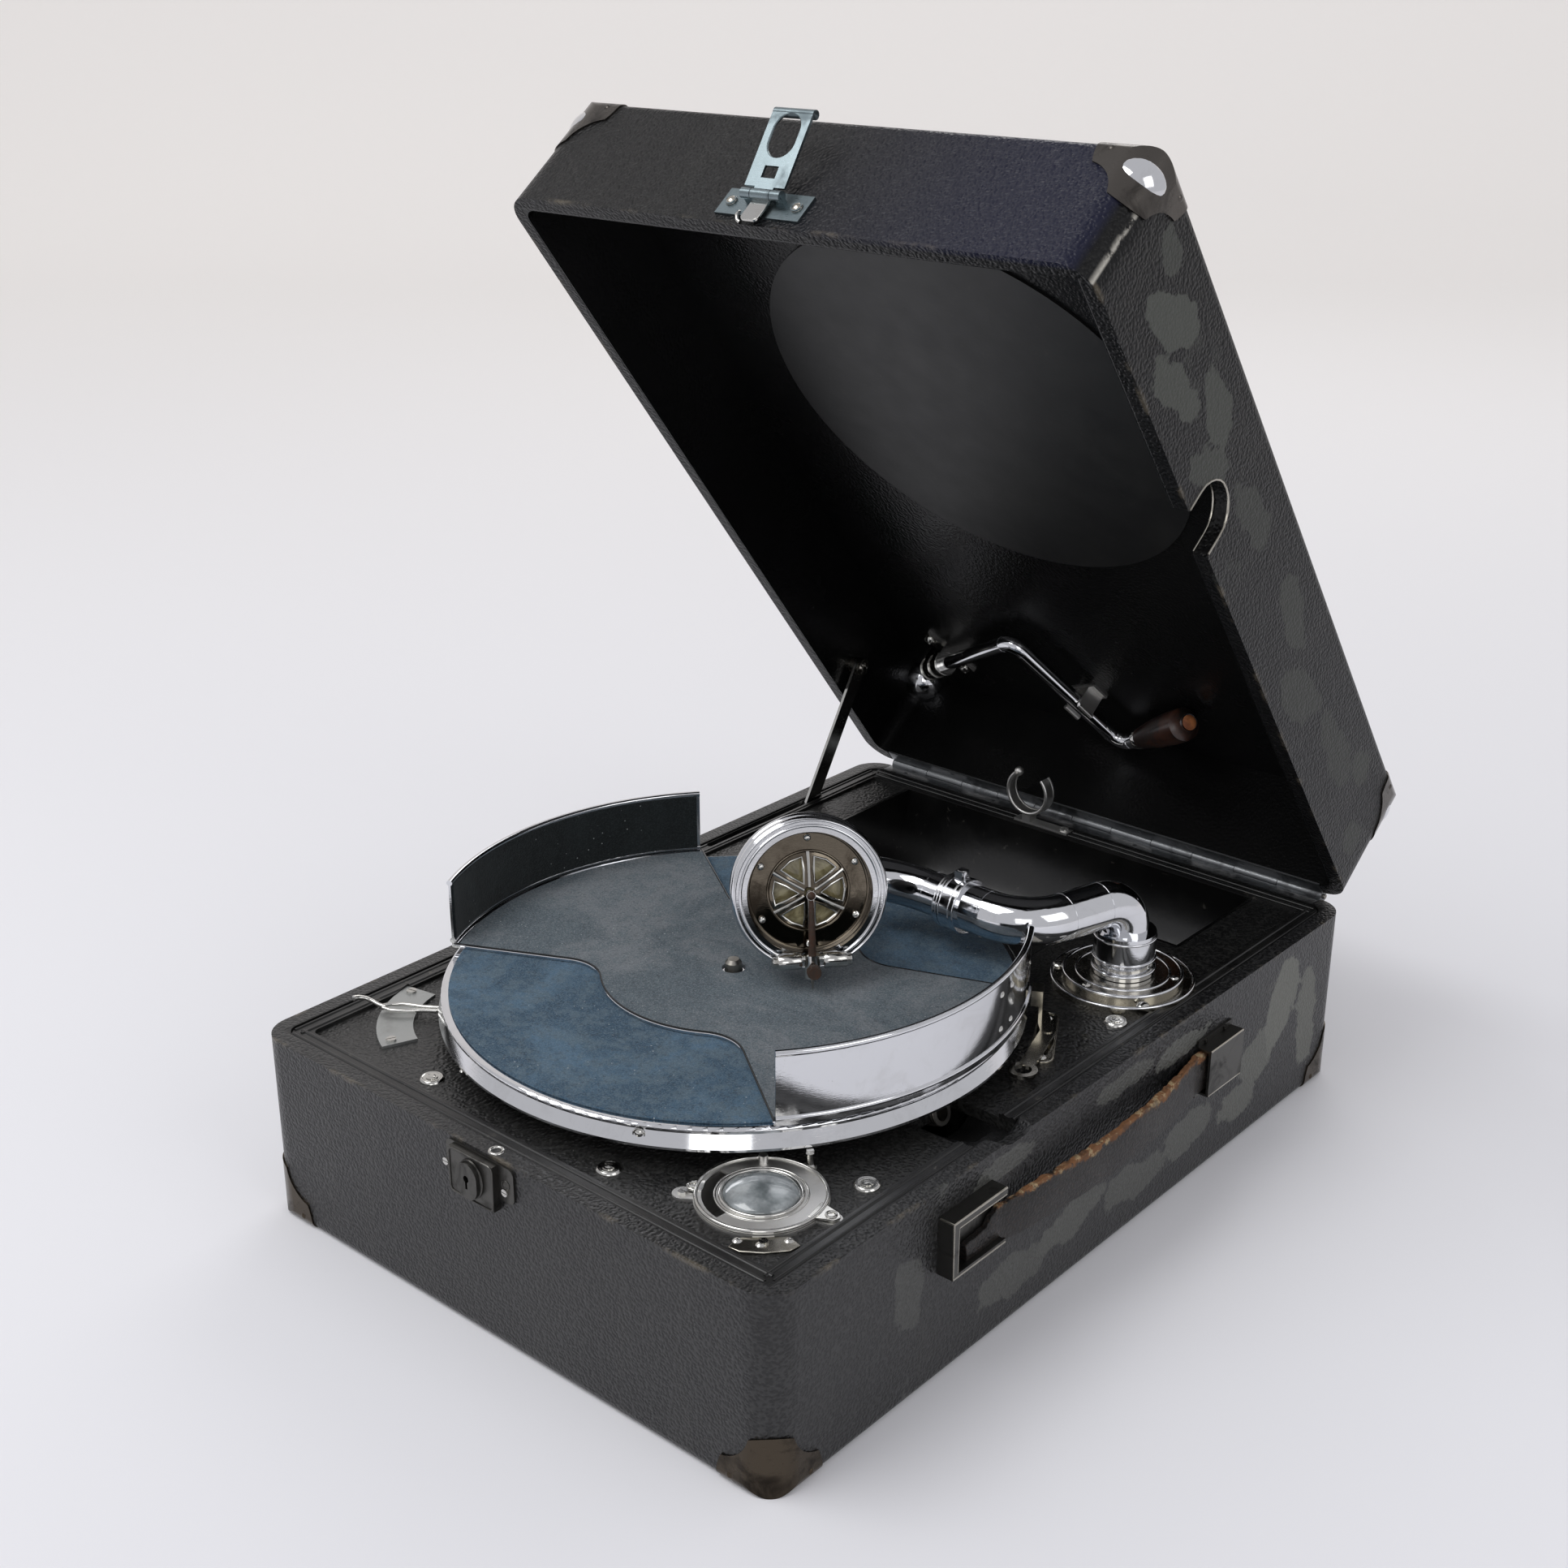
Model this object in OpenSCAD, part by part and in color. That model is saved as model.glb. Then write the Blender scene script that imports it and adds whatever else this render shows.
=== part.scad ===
// Portable wind-up gramophone in a carrying case, lid open.
// Origin at the centre of the underside of the base. +X to the carrying handle, +Y to the lid hinge, +Z up.

/* [Case] */
// Width of the case, left to right
case_w = 290; // [280:1:310]
// Depth of the case, front to hinge
case_d = 413; // [405:1:440]
// Height of the base to its rim
base_h = 87; // [86:0.5:92]
// Height of the lid from its rim to its top
lid_h = 58.5; // [57:0.5:66]
// Wall thickness of the base
wall_t = 8; // [6:0.5:9]
// Thickness of the base floor
floor_t = 7; // [5:0.5:9]
// Wall thickness of the lid
lid_wall_t = 7; // [5:0.5:8]
// Thickness of the lid top
lid_top_t = 7.5; // [6:0.5:9]
// Radius of the upright case corners
corner_r = 14; // [8:0.5:18]
// Radius of the long case edges
edge_r = 4; // [2:0.5:6]
// How far the lid stands open, in degrees
lid_open = 52; // [45:1:60]
// Gap between the two rims when shut
rim_gap = 0.3; // [0.2:0.05:0.6]
// Reach of a metal corner cap from its corner
cap_reach = 27; // [20:1:34]
// Sheet thickness of a corner cap
cap_t = 0.7; // [0.4:0.1:1.2]

/* [Hinge] */
// Distance of the hinge pin behind the case
hinge_out = 3.5; // [3.2:0.1:5]
// Length of the hinge
hinge_len = 262; // [200:2:270]
// Radius of the hinge pin
hinge_pin_r = 1.2; // [0.8:0.1:1.6]
// Outer radius of the hinge knuckles
knuckle_r = 3; // [2.4:0.1:3.1]
// Number of hinge knuckles
knuckle_n = 11; // [5:2:15]
// Sheet thickness of the hinge leaves
leaf_t = 0.8; // [0.5:0.1:1.2]
// Width of the hinge leaves on the rims
leaf_w = 7; // [5:0.5:7.5]

/* [Deck] */
// Depth of the deck top below the rim
deck_drop = 2.5; // [2:0.5:6]
// Thickness of the deck board
deck_t = 5; // [4:0.5:7]
// Width of the trim moulding around the deck
trim_w = 8; // [6:0.5:9]
// Height of the trim moulding
trim_h = 1.6; // [1:0.1:2]
// Width of the wood battens under the deck
batten_w = 24; // [22:1:28]
// Thickness of the wood battens
batten_t = 9; // [6:0.5:12]
// Radius of the cup washers of the deck screws
cup_washer_r = 5; // [4:0.25:6]

/* [Turntable] */
// Turntable centre, from the case centre to the right
tt_x = -8; // [-12:0.5:-4]
// Turntable centre, from the back of the case
tt_in_y = 264.5; // [261:0.5:268]
// Height of the turntable rim above the deck
tt_lift = 8.5; // [8:0.5:12]
// Depth of the turntable rim
tt_rim_h = 9.5; // [7:0.5:12]
// Sheet thickness of the turntable
tt_t = 2; // [1.5:0.1:2.5]
// Width of the bare rim around the turntable cloth
felt_in = 5; // [4:0.5:8]
// Thickness of the turntable cloth
felt_t = 1.2; // [0.8:0.1:1.6]
// Radius of the spindle
spindle_r = 3.6; // [3.4:0.05:3.8]
// Height of the spindle over the turntable cloth
spindle_up = 6.6; // [4:0.2:7]

/* [Record tray] */
// Thickness of the tray plate
tray_t = 1; // [0.8:0.1:1.4]
// Outer radius of the tray
tray_r = 126.5; // [124:0.5:127.5]
// Height of the tray wall
tray_wall_h = 32; // [24:0.5:34]
// Sheet thickness of the tray wall
tray_wall_t = 1; // [0.8:0.1:1.6]
// Radius of the round centre of the tray plate
tray_hub_r = 57; // [50:0.5:62]
// Radius of the hollow bends between the centre and the wings
tray_fillet_r = 20; // [12:1:24]
// Thickness of the tray cloth
tray_felt_t = 1; // [0.6:0.1:1.2]

/* [Tone arm] */
// Arm pivot, from the right side of the case
arm_in_x = 42; // [40:0.5:44]
// Arm pivot, from the back of the case
arm_in_y = 130; // [127.5:0.5:131.5]
// Height of the arm tube above the deck
arm_rise = 41.5; // [40.5:0.5:43]
// Outer radius of the arm tube
arm_r = 10.5; // [9.5:0.25:11]
// Wall thickness of the arm tube
arm_wall = 1.2; // [0.8:0.1:1.6]
// Bend radius of the upright elbow
elbow_r = 16; // [14:0.5:18]
// Heading of the straight part of the arm
arm_heading = -106; // [-108:0.5:-102]
// Length of the straight part of the arm
arm_straight = 20.5; // [18:0.5:23]
// Radius of the level bend of the arm
arm_bend_r = 26; // [24:0.5:28]
// Angle of the level bend of the arm
arm_bend = 76; // [74:0.5:78]
// Length of the arm after its bend
arm_end = 19; // [17:0.5:21]
// Radius of the flange under the arm
arm_flange_r = 32; // [28:0.5:33]

/* [Gooseneck and sound box] */
// Outer radius of the gooseneck tube
goose_r = 9.6; // [8.5:0.1:9.8]
// Length of the gooseneck before its bend
goose_straight = 11.8; // [10:0.2:13]
// Bend radius of the gooseneck
goose_bend_r = 34.8; // [33:0.2:36]
// Bend angle of the gooseneck
goose_bend = 139; // [136:0.5:142]
// How far the gooseneck is rolled up
goose_roll = 16.5; // [14:0.5:17]
// Turn of the sound box on the gooseneck
sound_turn = 12.8; // [8:0.2:16]
// Radius of the sound box
sound_r = 33; // [30:0.5:33]
// Thickness of the sound box ring
sound_t = 11; // [9:0.5:12]
// Radius of the diaphragm
diaphragm_r = 25.5; // [22:0.5:26]
// Distance of the needle tip from the sound box centre
needle_reach = 41.27; // [40.5:0.01:41.3]
// Radius of the needle
needle_r = 0.75; // [0.5:0.05:1]

/* [Motor] */
// Barrel arbor, from the case centre to the right
barrel_x = 48; // [47.5:0.25:49]
// Outer radius of the spring barrel
barrel_r = 35.5; // [30:0.5:35.5]
// Height of the spring barrel
barrel_h = 24; // [18:1:24]
// Teeth on the barrel rim
barrel_teeth = 84; // [84:1:84]
// Tooth size of the barrel pair
barrel_mod = 0.9; // [0.88:0.01:0.9]
// Teeth on the large intermediate wheel
wheel_teeth = 70; // [70:1:70]
// Tooth size of the spindle pair
wheel_mod = 0.6; // [0.58:0.01:0.6]
// Teeth on each pinion
pinion_teeth = 14; // [14:1:14]
// Teeth on the worm wheel
worm_teeth = 20; // [20:1:20]
// Tooth size of the worm wheel
worm_mod = 1.6; // [1.55:0.01:1.6]
// Teeth on each bevel wheel of the winding gear
bevel_teeth = 16; // [12:1:18]
// Tooth size of the winding gear
bevel_mod = 1; // [0.9:0.05:1.1]
// Slope of the winding shaft
winding_slope = 18.5; // [14:0.5:20]

/* [Winding handle] */
// Radius of the winding handle rod
crank_r = 4; // [3:0.25:4.5]
// Length of the threaded end of the rod
crank_shaft_len = 88; // [80:1:92]
// Length of the arm of the winding handle
crank_arm_len = 85; // [80:1:88]
// Length of the wooden knob
knob_len = 44; // [38:1:48]
// Largest radius of the wooden knob
knob_r = 8.5; // [6:0.5:9]

/* [Fittings] */
// Centre of the lock and the hasp, left to right
lock_x = -6; // [-20:1:20]
// Width of the lock box
lock_w = 25; // [22:0.5:30]
// Height of the lock box
lock_h = 20; // [19:0.5:24]
// How far the lock box stands out
lock_out = 3.6; // [2.5:0.1:3.8]
// Length of the hasp
hasp_len = 34; // [32:0.5:38]
// How far the hasp stands open, in degrees
hasp_open = 160.5; // [150:0.5:165]
// Length of the carrying handle strap
strap_len = 190; // [170:1:210]
// Height of the carrying handle strap
strap_h = 20; // [16:0.5:24]
// Thickness of the carrying handle strap
strap_t = 4; // [3:0.25:5]
// How far the strap bows out
strap_bow = 7; // [5:0.5:12]
// Outer radius of the needle cup cover
cup_r = 25; // [22:0.5:25]
// Depth of the needle cup
cup_depth = 16; // [10:0.5:18]
// Length of the lid stay between its pivots
stay_len = 90.9; // [90:0.1:91.5]
// Width of the lid stay
stay_w = 9; // [6:0.5:10]
// Thickness of the lid stay
stay_t = 1.5; // [1:0.1:2]
// Radius of the disc in the lid
disc_r = 104; // [90:1:110]

/* [Hidden] */
$fn = 48;

// Small values that the pieces share
eps = 0.01;
run = 0.06;
gap = 0.3;
seam_w = 0.8;
seam_h = 0.08;
screw_r = 2.2;
screw_h = 1;

// Heights
rim_z = base_h;
lid_z0 = rim_z + rim_gap;
lid_z1 = rim_z + lid_h;
lid_in_z = lid_z1 - lid_top_t;
deck_z = rim_z - deck_drop;
deck_z0 = deck_z - deck_t;
tt_z0 = deck_z + tt_lift;
tt_z = tt_z0 + tt_rim_h;
felt_z = tt_z + felt_t;
tray_z = felt_z + gap;
arm_z = deck_z + arm_rise;

// Plan places
in_w = case_w - 2 * wall_t;
in_d = case_d - 2 * wall_t;
lid_in_w = case_w - 2 * lid_wall_t;
lid_in_d = case_d - 2 * lid_wall_t;
hinge_y = case_d / 2 + hinge_out;
hinge_z = rim_z + rim_gap / 2;
front_y = -case_d / 2;
right_x = case_w / 2;
trim_in_w = in_w - 2 * trim_w;
trim_in_d = in_d - 2 * trim_w;
tt_y = case_d / 2 - tt_in_y;
tt_r = tray_r - 0.5;
felt_r = tt_r - felt_in;
arm_x = right_x - arm_in_x;
arm_y = case_d / 2 - arm_in_y;

// Horn mouth
mouth_x0 = -107;
mouth_x1 = 104;
mouth_y1 = trim_in_d / 2 + 1.5;
mouth_t = 1.5;
mouth_r = 62;
mouth_cy = mouth_y1 - 64;
mouth_cz = rim_z + 1;
mouth_step_x = 58;
mouth_step_y = mouth_y1 - 70;

// Winding notch
notch_y = tt_y - 8.5;
notch_w = 27;
notch_x = right_x - 39;
notch_low_z = 66;
trough_r = 9;
trough_half = 3.5;
lid_notch_h = 24;

// Lid stay
stay_x = -in_w / 2 + 3;
stay_top = [142, rim_z + 16.5];
stay_low_z = 73;
stay_lean = hinge_y - stay_top[0];
stay_over = stay_top[1] - hinge_z;
stay_ty = hinge_y - stay_lean * cos(lid_open) + stay_over * sin(lid_open);
stay_tz = hinge_z + stay_lean * sin(lid_open) + stay_over * cos(lid_open);
stay_ly = stay_ty - sqrt(stay_len * stay_len - pow(stay_tz - stay_low_z, 2));
stay_eye_r = 2.6;
stay_pin_r = 2;
guide_t = 1.3;
guide_z0 = 60;
guide_slot_h = 9.5;

// Motor heights and places
plate_low_z = 22;
plate_t = 2;
plate_top_z = 70;
plate_x = 22;
plate_y = tt_y - 12;
plate_w = 140;
plate_d = 108;
post_in = 6;
barrel_y = tt_y - 4;
barrel_z = 26.5;
barrel_rim_z = barrel_z + barrel_h;
barrel_rim_t = 3;
pair_a = barrel_mod * (barrel_teeth + pinion_teeth) / 2;
pair_b = wheel_mod * (wheel_teeth + pinion_teeth) / 2;
barrel_gap = norm([barrel_x - tt_x, barrel_y - tt_y]);
barrel_az = atan2(barrel_y - tt_y, barrel_x - tt_x);
inter_az = barrel_az
    - acos((pair_b * pair_b + barrel_gap * barrel_gap - pair_a * pair_a) / (2 * pair_b * barrel_gap));
inter_x = tt_x + pair_b * cos(inter_az);
inter_y = tt_y + pair_b * sin(inter_az);
wheel_z = 59;
wheel_t = 2;
worm_z = 41.5;
worm_t = 2.5;
worm_r = 5;
worm_pitch = PI * worm_mod;
worm_depth = 1.3;
gov_x = tt_x - worm_mod * worm_teeth / 2 - worm_r - 0.35;
gov_y0 = tt_y - 60;
gov_y1 = tt_y + 30;
gov_collar = 40;
gov_shaft_r = 2;
arbor_r = 5;
bevel_cone = (90 + winding_slope) / 2;
bevel_pitch_r = bevel_mod * bevel_teeth / 2;
bevel_apex = bevel_pitch_r / tan(bevel_cone);
bevel_z = 62;
bevel_h = 3.6;
winding_end_x = right_x - 37;
bearing_x = right_x - 75;

// Tone arm and sound box
collar_len = 9;
sleeve_top = arm_z - elbow_r + seam_w;
sound_z = 7;
stylus_z = sound_z + sound_t + 0.6;
pivot_half = 16.5;

// Edge lines of the tray wings: [heading, distance beyond the centre, side]
wing_right = [[-35.7, 11, -1], [21, 24, 1]];
wing_left = [[206, 9.8, 1], [146, 14.3, -1]];

// Winding handle in the lid, as [x, distance from the hinge pin]
crank_start = [-112.5, 41.8];
crank_az = -34.2;
crank_z = lid_in_z - 9.5;
crank_bend_az = 62.3;
knob_az = -38;
crank_bend_r = 8;
crank_foot = 20;
crank_turn1 = crank_bend_az - crank_az;
crank_turn2 = crank_bend_az - knob_az;
crank_t1 = crank_bend_r * tan(crank_turn1 / 2);
crank_t2 = crank_bend_r * tan(crank_turn2 / 2);

// Fitting places on the deck
reg_az = -141;
reg_r = 40.5;
reg_w = 15.5;
reg_half = 29;
lever_stud_r = 3;
lever_px = -76;
lever_py = tt_y - 69;
brake_r = tt_r + 8;
brake_az = 30.3;
brake_stud_r = 2;
cup_x = right_x - 48.5;
cup_y = front_y + 49.1;
cup_ears = [[-47, 29.5], [216, 29.5], [12, 29.5]];
deck_screw_at = [[-62.3, front_y + 25.3], [39.9, front_y + 25.8], [right_x - 24.6, tt_y - 66.9],
    [right_x - 23.5, arm_y - 33.6]];
clip_x = -30;
clip_y = (trim_in_d + in_d) / 4;
strap_y = -6;
strap_z = 57.5;
hasp_z = rim_z + 12;
hasp_out = 4.5;
hasp_y = front_y - hasp_out;
hasp_w = 20;
hasp_t = 1.2;
lock_z = rim_z - 12;
disc_reach = 262;
stay_slot = [[0, hinge_y - 148], [0, hinge_y - 62]];

// A flat rounded rectangle
module rounded(w, d, r) {
    square([w, d - 2 * r], center = true);
    square([w - 2 * r, d], center = true);
    for (sx = [-1, 1], sy = [-1, 1])
        translate([sx * (w / 2 - r), sy * (d / 2 - r)]) circle(r);
}

// A case half from z0 to z1 whose long edges are rounded at the bottom or at the top
module case_block(w, d, z0, z1, rc, re, round_top) {
    tall = z1 - z0 + 2 * re;
    low = round_top ? z0 - 2 * re : z0;
    intersection() {
        translate([0, 0, z0]) linear_extrude(z1 - z0) rounded(w, d, rc);
        translate([0, d / 2, low + tall / 2]) rotate([90, 0, 0]) linear_extrude(d) rounded(w, tall, re);
        translate([-w / 2, 0, low + tall / 2]) rotate([90, 0, 90]) linear_extrude(w) rounded(d, tall, re);
    }
}

// A slot with round ends between two points
module slot(a, b, r) {
    len = norm(b - a);
    translate(a) circle(r);
    translate(b) circle(r);
    translate(a) rotate(atan2(b[1] - a[1], b[0] - a[0])) translate([0, -r]) square([len, 2 * r]);
}

module ring(r_out, r_in, h) {
    difference() {
        cylinder(r = r_out, h = h);
        translate([0, 0, -1]) cylinder(r = r_in, h = h + 2);
    }
}

// A bent rod, in the XY plane, that starts at the origin along +X and turns left
module bend(r_bend, turn, r) {
    translate([0, r_bend, 0]) rotate([0, 0, -90]) rotate_extrude(angle = turn) translate([r_bend, 0])
        circle(r);
}

// A rod along +X
module rod(len, r) {
    rotate([0, 90, 0]) cylinder(r = r, h = len);
}

// A fine seam round the place where two lengths of tube meet
module seam(r) {
    translate([-seam_w / 2, 0, 0]) rod(seam_w, r + seam_h);
}

// A slotted round-head screw standing on z = 0
module screw_head(r, h) {
    difference() {
        cylinder(r = r, h = h);
        translate([-r - 1, -r / 8, h * 0.55]) cube([2 * r + 2, r / 4, h]);
    }
}

// Outline of a toothed wheel with straight-flanked teeth that run with play
module gear2d(teeth, size) {
    rp = size * teeth / 2;
    root = rp - 1.25 * size;
    tip = rp + 0.85 * size;
    turn = 360 / teeth;
    a_root = 0.92 * size / root * 180 / PI;
    a_mid = 0.58 * size / rp * 180 / PI;
    a_tip = 0.22 * size / tip * 180 / PI;
    polygon([for (i = [0 : teeth - 1]) for (q = [[root, -a_root], [rp, -a_mid], [tip, -a_tip],
        [tip, a_tip], [rp, a_mid], [root, a_root]])
        [q[0] * cos(i * turn + q[1]), q[0] * sin(i * turn + q[1])]]);
}

// The lid pieces are drawn shut and turned open here
module lid_pose() {
    translate([0, hinge_y, hinge_z]) rotate([-lid_open, 0, 0]) translate([0, -hinge_y, -hinge_z])
        children();
}

// Room of the corner caps: round a corner, hollowed on each face between the lobes along the edges
module cap_zone(w, d, z, up) {
    far = cap_reach * 1.06;
    hollow_r = cap_reach * 0.66;
    for (sx = [-1, 1], sy = [-1, 1]) translate([sx * w / 2, sy * d / 2, z]) difference() {
        sphere(r = cap_reach);
        translate([-sx * far, -sy * far, -cap_reach]) cylinder(r = hollow_r, h = 2 * cap_reach);
        translate([-sx * far, 0, up * far]) rotate([90, 0, 0])
            cylinder(r = hollow_r, h = 2 * cap_reach, center = true);
        translate([0, -sy * far, up * far]) rotate([0, 90, 0])
            cylinder(r = hollow_r, h = 2 * cap_reach, center = true);
    }
}

module base_case() {
    color([0.07, 0.07, 0.075]) difference() {
        union() {
            difference() {
                case_block(case_w, case_d, 0, base_h, corner_r, edge_r, false);
                translate([0, 0, floor_t]) linear_extrude(base_h) rounded(in_w, in_d, corner_r - wall_t);
            }
            translate([-in_w / 2 - eps, -in_d / 2 - eps, deck_z0 - batten_t])
                cube([in_w + 2 * eps, batten_w, batten_t]);
            translate([in_w / 2 - batten_w, -in_d / 2, deck_z0 - batten_t])
                cube([batten_w + eps, in_d / 2 + 60, batten_t]);
            translate([-in_w / 2 - eps, mouth_y1 + gap, deck_z0 - batten_t])
                cube([in_w + 2 * eps, in_d / 2 - mouth_y1 - gap + eps, batten_t]);
        }
        // corners hollowed for the sheet of the caps
        intersection() {
            cap_zone(case_w, case_d, 0, 1);
            translate([-case_w, -case_d, -1]) cube([2 * case_w, 2 * case_d, 1 + cap_t]);
        }
        // bed of the hinge leaf
        translate([-hinge_len / 2 - gap, case_d / 2 - leaf_w - gap, rim_z - leaf_t])
            cube([hinge_len + 2 * gap, leaf_w + 1 + gap, leaf_t + 1]);
        winding_trough();
        // room for the needle cup and its screws
        translate([cup_x, cup_y, deck_z0 - batten_t - 1]) cylinder(r = cup_r - 1 + gap, h = batten_t + 2);
        for (q = deck_screw_at) translate([q[0], q[1], deck_z0 - batten_t - 1])
            cylinder(r = screw_r - 0.7, h = batten_t + 2);
    }
}

// Inclined trough in the base wall for the winding handle
module winding_trough() {
    start = (winding_end_x - barrel_x + 2) / cos(winding_slope);
    half_w = trough_r + trough_half;
    winding_line() translate([0, 0, start]) linear_extrude(80) {
        slot([0, -trough_half], [0, trough_half], trough_r);
        translate([-40, -half_w]) square([40, 2 * half_w]);
    }
}

// Slot in the deck and its trim for the winding handle
module winding_notch() {
    translate([notch_x, notch_y, notch_low_z + notch_w / 2]) rotate([0, 90, 0])
        cylinder(r = notch_w / 2, h = 60);
    translate([notch_x, notch_y - notch_w / 2, notch_low_z + notch_w / 2]) cube([60, notch_w, 60]);
}

module base_corner_caps() {
    color([0.55, 0.53, 0.48]) difference() {
        intersection() {
            case_block(case_w + 2 * cap_t, case_d + 2 * cap_t, 0, base_h, corner_r + cap_t, edge_r, false);
            cap_zone(case_w, case_d, 0, 1);
        }
        intersection() {
            case_block(case_w, case_d, 0, base_h, corner_r, edge_r, false);
            translate([-case_w, -case_d, cap_t]) cube([2 * case_w, 2 * case_d, base_h]);
        }
    }
}

// Outline of the horn mouth, stepped round the tone arm base
module mouth2d(inset) {
    difference() {
        translate([mouth_x0 + inset, tt_y])
            square([mouth_x1 - mouth_x0 - 2 * inset, mouth_y1 - tt_y - inset]);
        translate([tt_x, tt_y]) circle(tt_r + 10 + inset);
        translate([mouth_step_x - inset, tt_y - 1]) square([case_w, mouth_step_y - tt_y + 1 + inset]);
    }
}

module deck_holes() {
    translate([0, 0, deck_z0 - 1]) {
        linear_extrude(deck_t + 2) mouth2d(-gap);
        translate([tt_x, tt_y, 0]) cylinder(r = 9, h = deck_t + 2);
        translate([arm_x, arm_y, 0]) cylinder(r = arm_r + 1.3, h = deck_t + 2);
        translate([cup_x, cup_y, 0]) cylinder(r = cup_r - 1.2, h = deck_t + 2);
        translate([lever_px, lever_py, 0]) cylinder(r = lever_stud_r + run, h = deck_t + 2);
        translate([stay_x, 0, 0]) linear_extrude(deck_t + 2)
            slot(stay_slot[0], stay_slot[1], stay_t / 2 + 0.7);
        for (q = deck_screw_at) translate([q[0], q[1], 0]) cylinder(r = screw_r - 0.7, h = deck_t + 2);
    }
    winding_notch();
    winding_line() cylinder(r = 6.2, h = 70);
}

module deck_board() {
    color([0.06, 0.06, 0.065]) difference() {
        translate([0, 0, deck_z0]) linear_extrude(deck_t)
            rounded(in_w - 2 * gap, in_d - 2 * gap, corner_r - wall_t);
        deck_holes();
    }
}

module deck_trim() {
    bead_r = 1;
    color([0.09, 0.09, 0.09]) difference() {
        union() {
            translate([0, 0, deck_z]) linear_extrude(trim_h) difference() {
                rounded(in_w - 2 * gap, in_d - 2 * gap, corner_r - wall_t);
                rounded(trim_in_w, trim_in_d, 3);
            }
            for (s = [-1, 1], k = [0.25, 0.8]) {
                translate([s * (trim_in_w / 2 + k * trim_w), -in_d / 2 + 4, deck_z + trim_h - 0.4])
                    rotate([-90, 0, 0]) cylinder(r = bead_r, h = in_d - 8);
                translate([-in_w / 2 + 4, s * (trim_in_d / 2 + k * trim_w), deck_z + trim_h - 0.4])
                    rotate([0, 90, 0]) cylinder(r = bead_r, h = in_w - 8);
            }
        }
        winding_notch();
        translate([stay_x, 0, deck_z - 1]) linear_extrude(trim_h + 4)
            slot(stay_slot[0], stay_slot[1], stay_t / 2 + 0.7);
        // seats of the tone arm base, the regulator plate, a needle cup ear and the arm clip
        translate([arm_x, arm_y, deck_z - 1]) cylinder(r = arm_flange_r + 0.1, h = trim_h + 3);
        translate([0, 0, deck_z - 1]) regulator_arc(0.1, trim_h + 3);
        translate([cup_x, cup_y, deck_z - 1]) rotate([0, 0, cup_ears[2][0]]) translate([cup_ears[2][1], 0, 0])
            cylinder(r = 4.1, h = trim_h + 3);
        translate([clip_x - 8, clip_y - trim_w / 2 + 0.5, deck_z + trim_h - 0.4]) cube([34, trim_w - 1, 3]);
    }
}

module deck_screws() {
    color([0.6, 0.58, 0.5]) for (q = deck_screw_at) translate([q[0], q[1], deck_z]) {
        difference() {
            cylinder(r1 = cup_washer_r, r2 = cup_washer_r - 1.4, h = 1.1);
            translate([0, 0, 0.5]) cylinder(r = screw_r + 0.3, h = 2);
        }
        translate([0, 0, 0.5]) screw_head(screw_r + 0.3, screw_h);
        translate([0, 0, -14]) cylinder(r = screw_r - 0.7, h = 14.5);
    }
}

module small_screws() {
    color([0.5, 0.48, 0.42]) {
        for (s = [-1, 1]) {
            translate([lever_px, lever_py, deck_z + 1.2]) rotate([0, 0, reg_az + s * (reg_half - 4)])
                translate([reg_r + reg_w - 5, 0, 0]) screw_head(screw_r, screw_h);
            brake_frame() translate([s * 17, 3, 1.5]) screw_head(screw_r - 0.4, screw_h);
        }
        for (q = cup_ears) translate([cup_x + q[1] * cos(q[0]), cup_y + q[1] * sin(q[0]), deck_z + 0.8])
            screw_head(screw_r - 0.4, screw_h);
        for (a = [80, 200, 320]) translate([arm_x, arm_y, deck_z + 3]) rotate([0, 0, a])
            translate([arm_flange_r - 3.2, 0, 0]) screw_head(screw_r + 0.4, screw_h);
        for (s = [-1, 1]) translate([lock_x + s * (lock_w / 2 + 4.5), front_y - 1, lock_z])
            rotate([90, 0, 0]) screw_head(screw_r - 0.6, screw_h);
    }
}

module mouth_bowl(inset, depth_in) {
    intersection() {
        translate([0, 0, 10]) linear_extrude(deck_z - 10 + (inset > 0 ? 1 : 0)) mouth2d(inset);
        translate([mouth_x0, mouth_cy, mouth_cz]) rotate([0, 90, 0])
            cylinder(r = mouth_r + depth_in, h = mouth_x1 - mouth_x0, $fn = 96);
    }
}

module horn_mouth() {
    color([0.03, 0.03, 0.03]) difference() {
        mouth_bowl(0, mouth_t);
        mouth_bowl(mouth_t, 0);
        // opening into the horn duct
        translate([mouth_step_x + 8, mouth_step_y - 6, 34]) cube([mouth_x1 - mouth_step_x - 16, 12, 34]);
    }
}

// Sheet duct that leads from under the tone arm base to the horn mouth
module horn_duct() {
    duct_x = mouth_step_x + 5;
    duct_w = 53;
    duct_y = arm_y - 12;
    duct_l = mouth_step_y - duct_y - gap;
    duct_z = 33;
    duct_h = 36;
    color([0.12, 0.12, 0.12]) difference() {
        union() {
            translate([duct_x, duct_y, duct_z]) cube([duct_w, duct_l, duct_h]);
            translate([arm_x, arm_y, duct_z + duct_h - 1])
                cylinder(r = arm_r + 1.1, h = deck_z0 - duct_z - duct_h + 3);
        }
        translate([duct_x + 1, duct_y + 1, duct_z + 1]) cube([duct_w - 2, duct_l - 2, duct_h - 2]);
        translate([mouth_step_x + 8, mouth_step_y - 6, duct_z + 1])
            cube([mouth_x1 - mouth_step_x - 16, 12, duct_h - 2]);
        translate([arm_x, arm_y, duct_z + 10]) cylinder(r = arm_r + 0.1, h = 60);
    }
}

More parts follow.
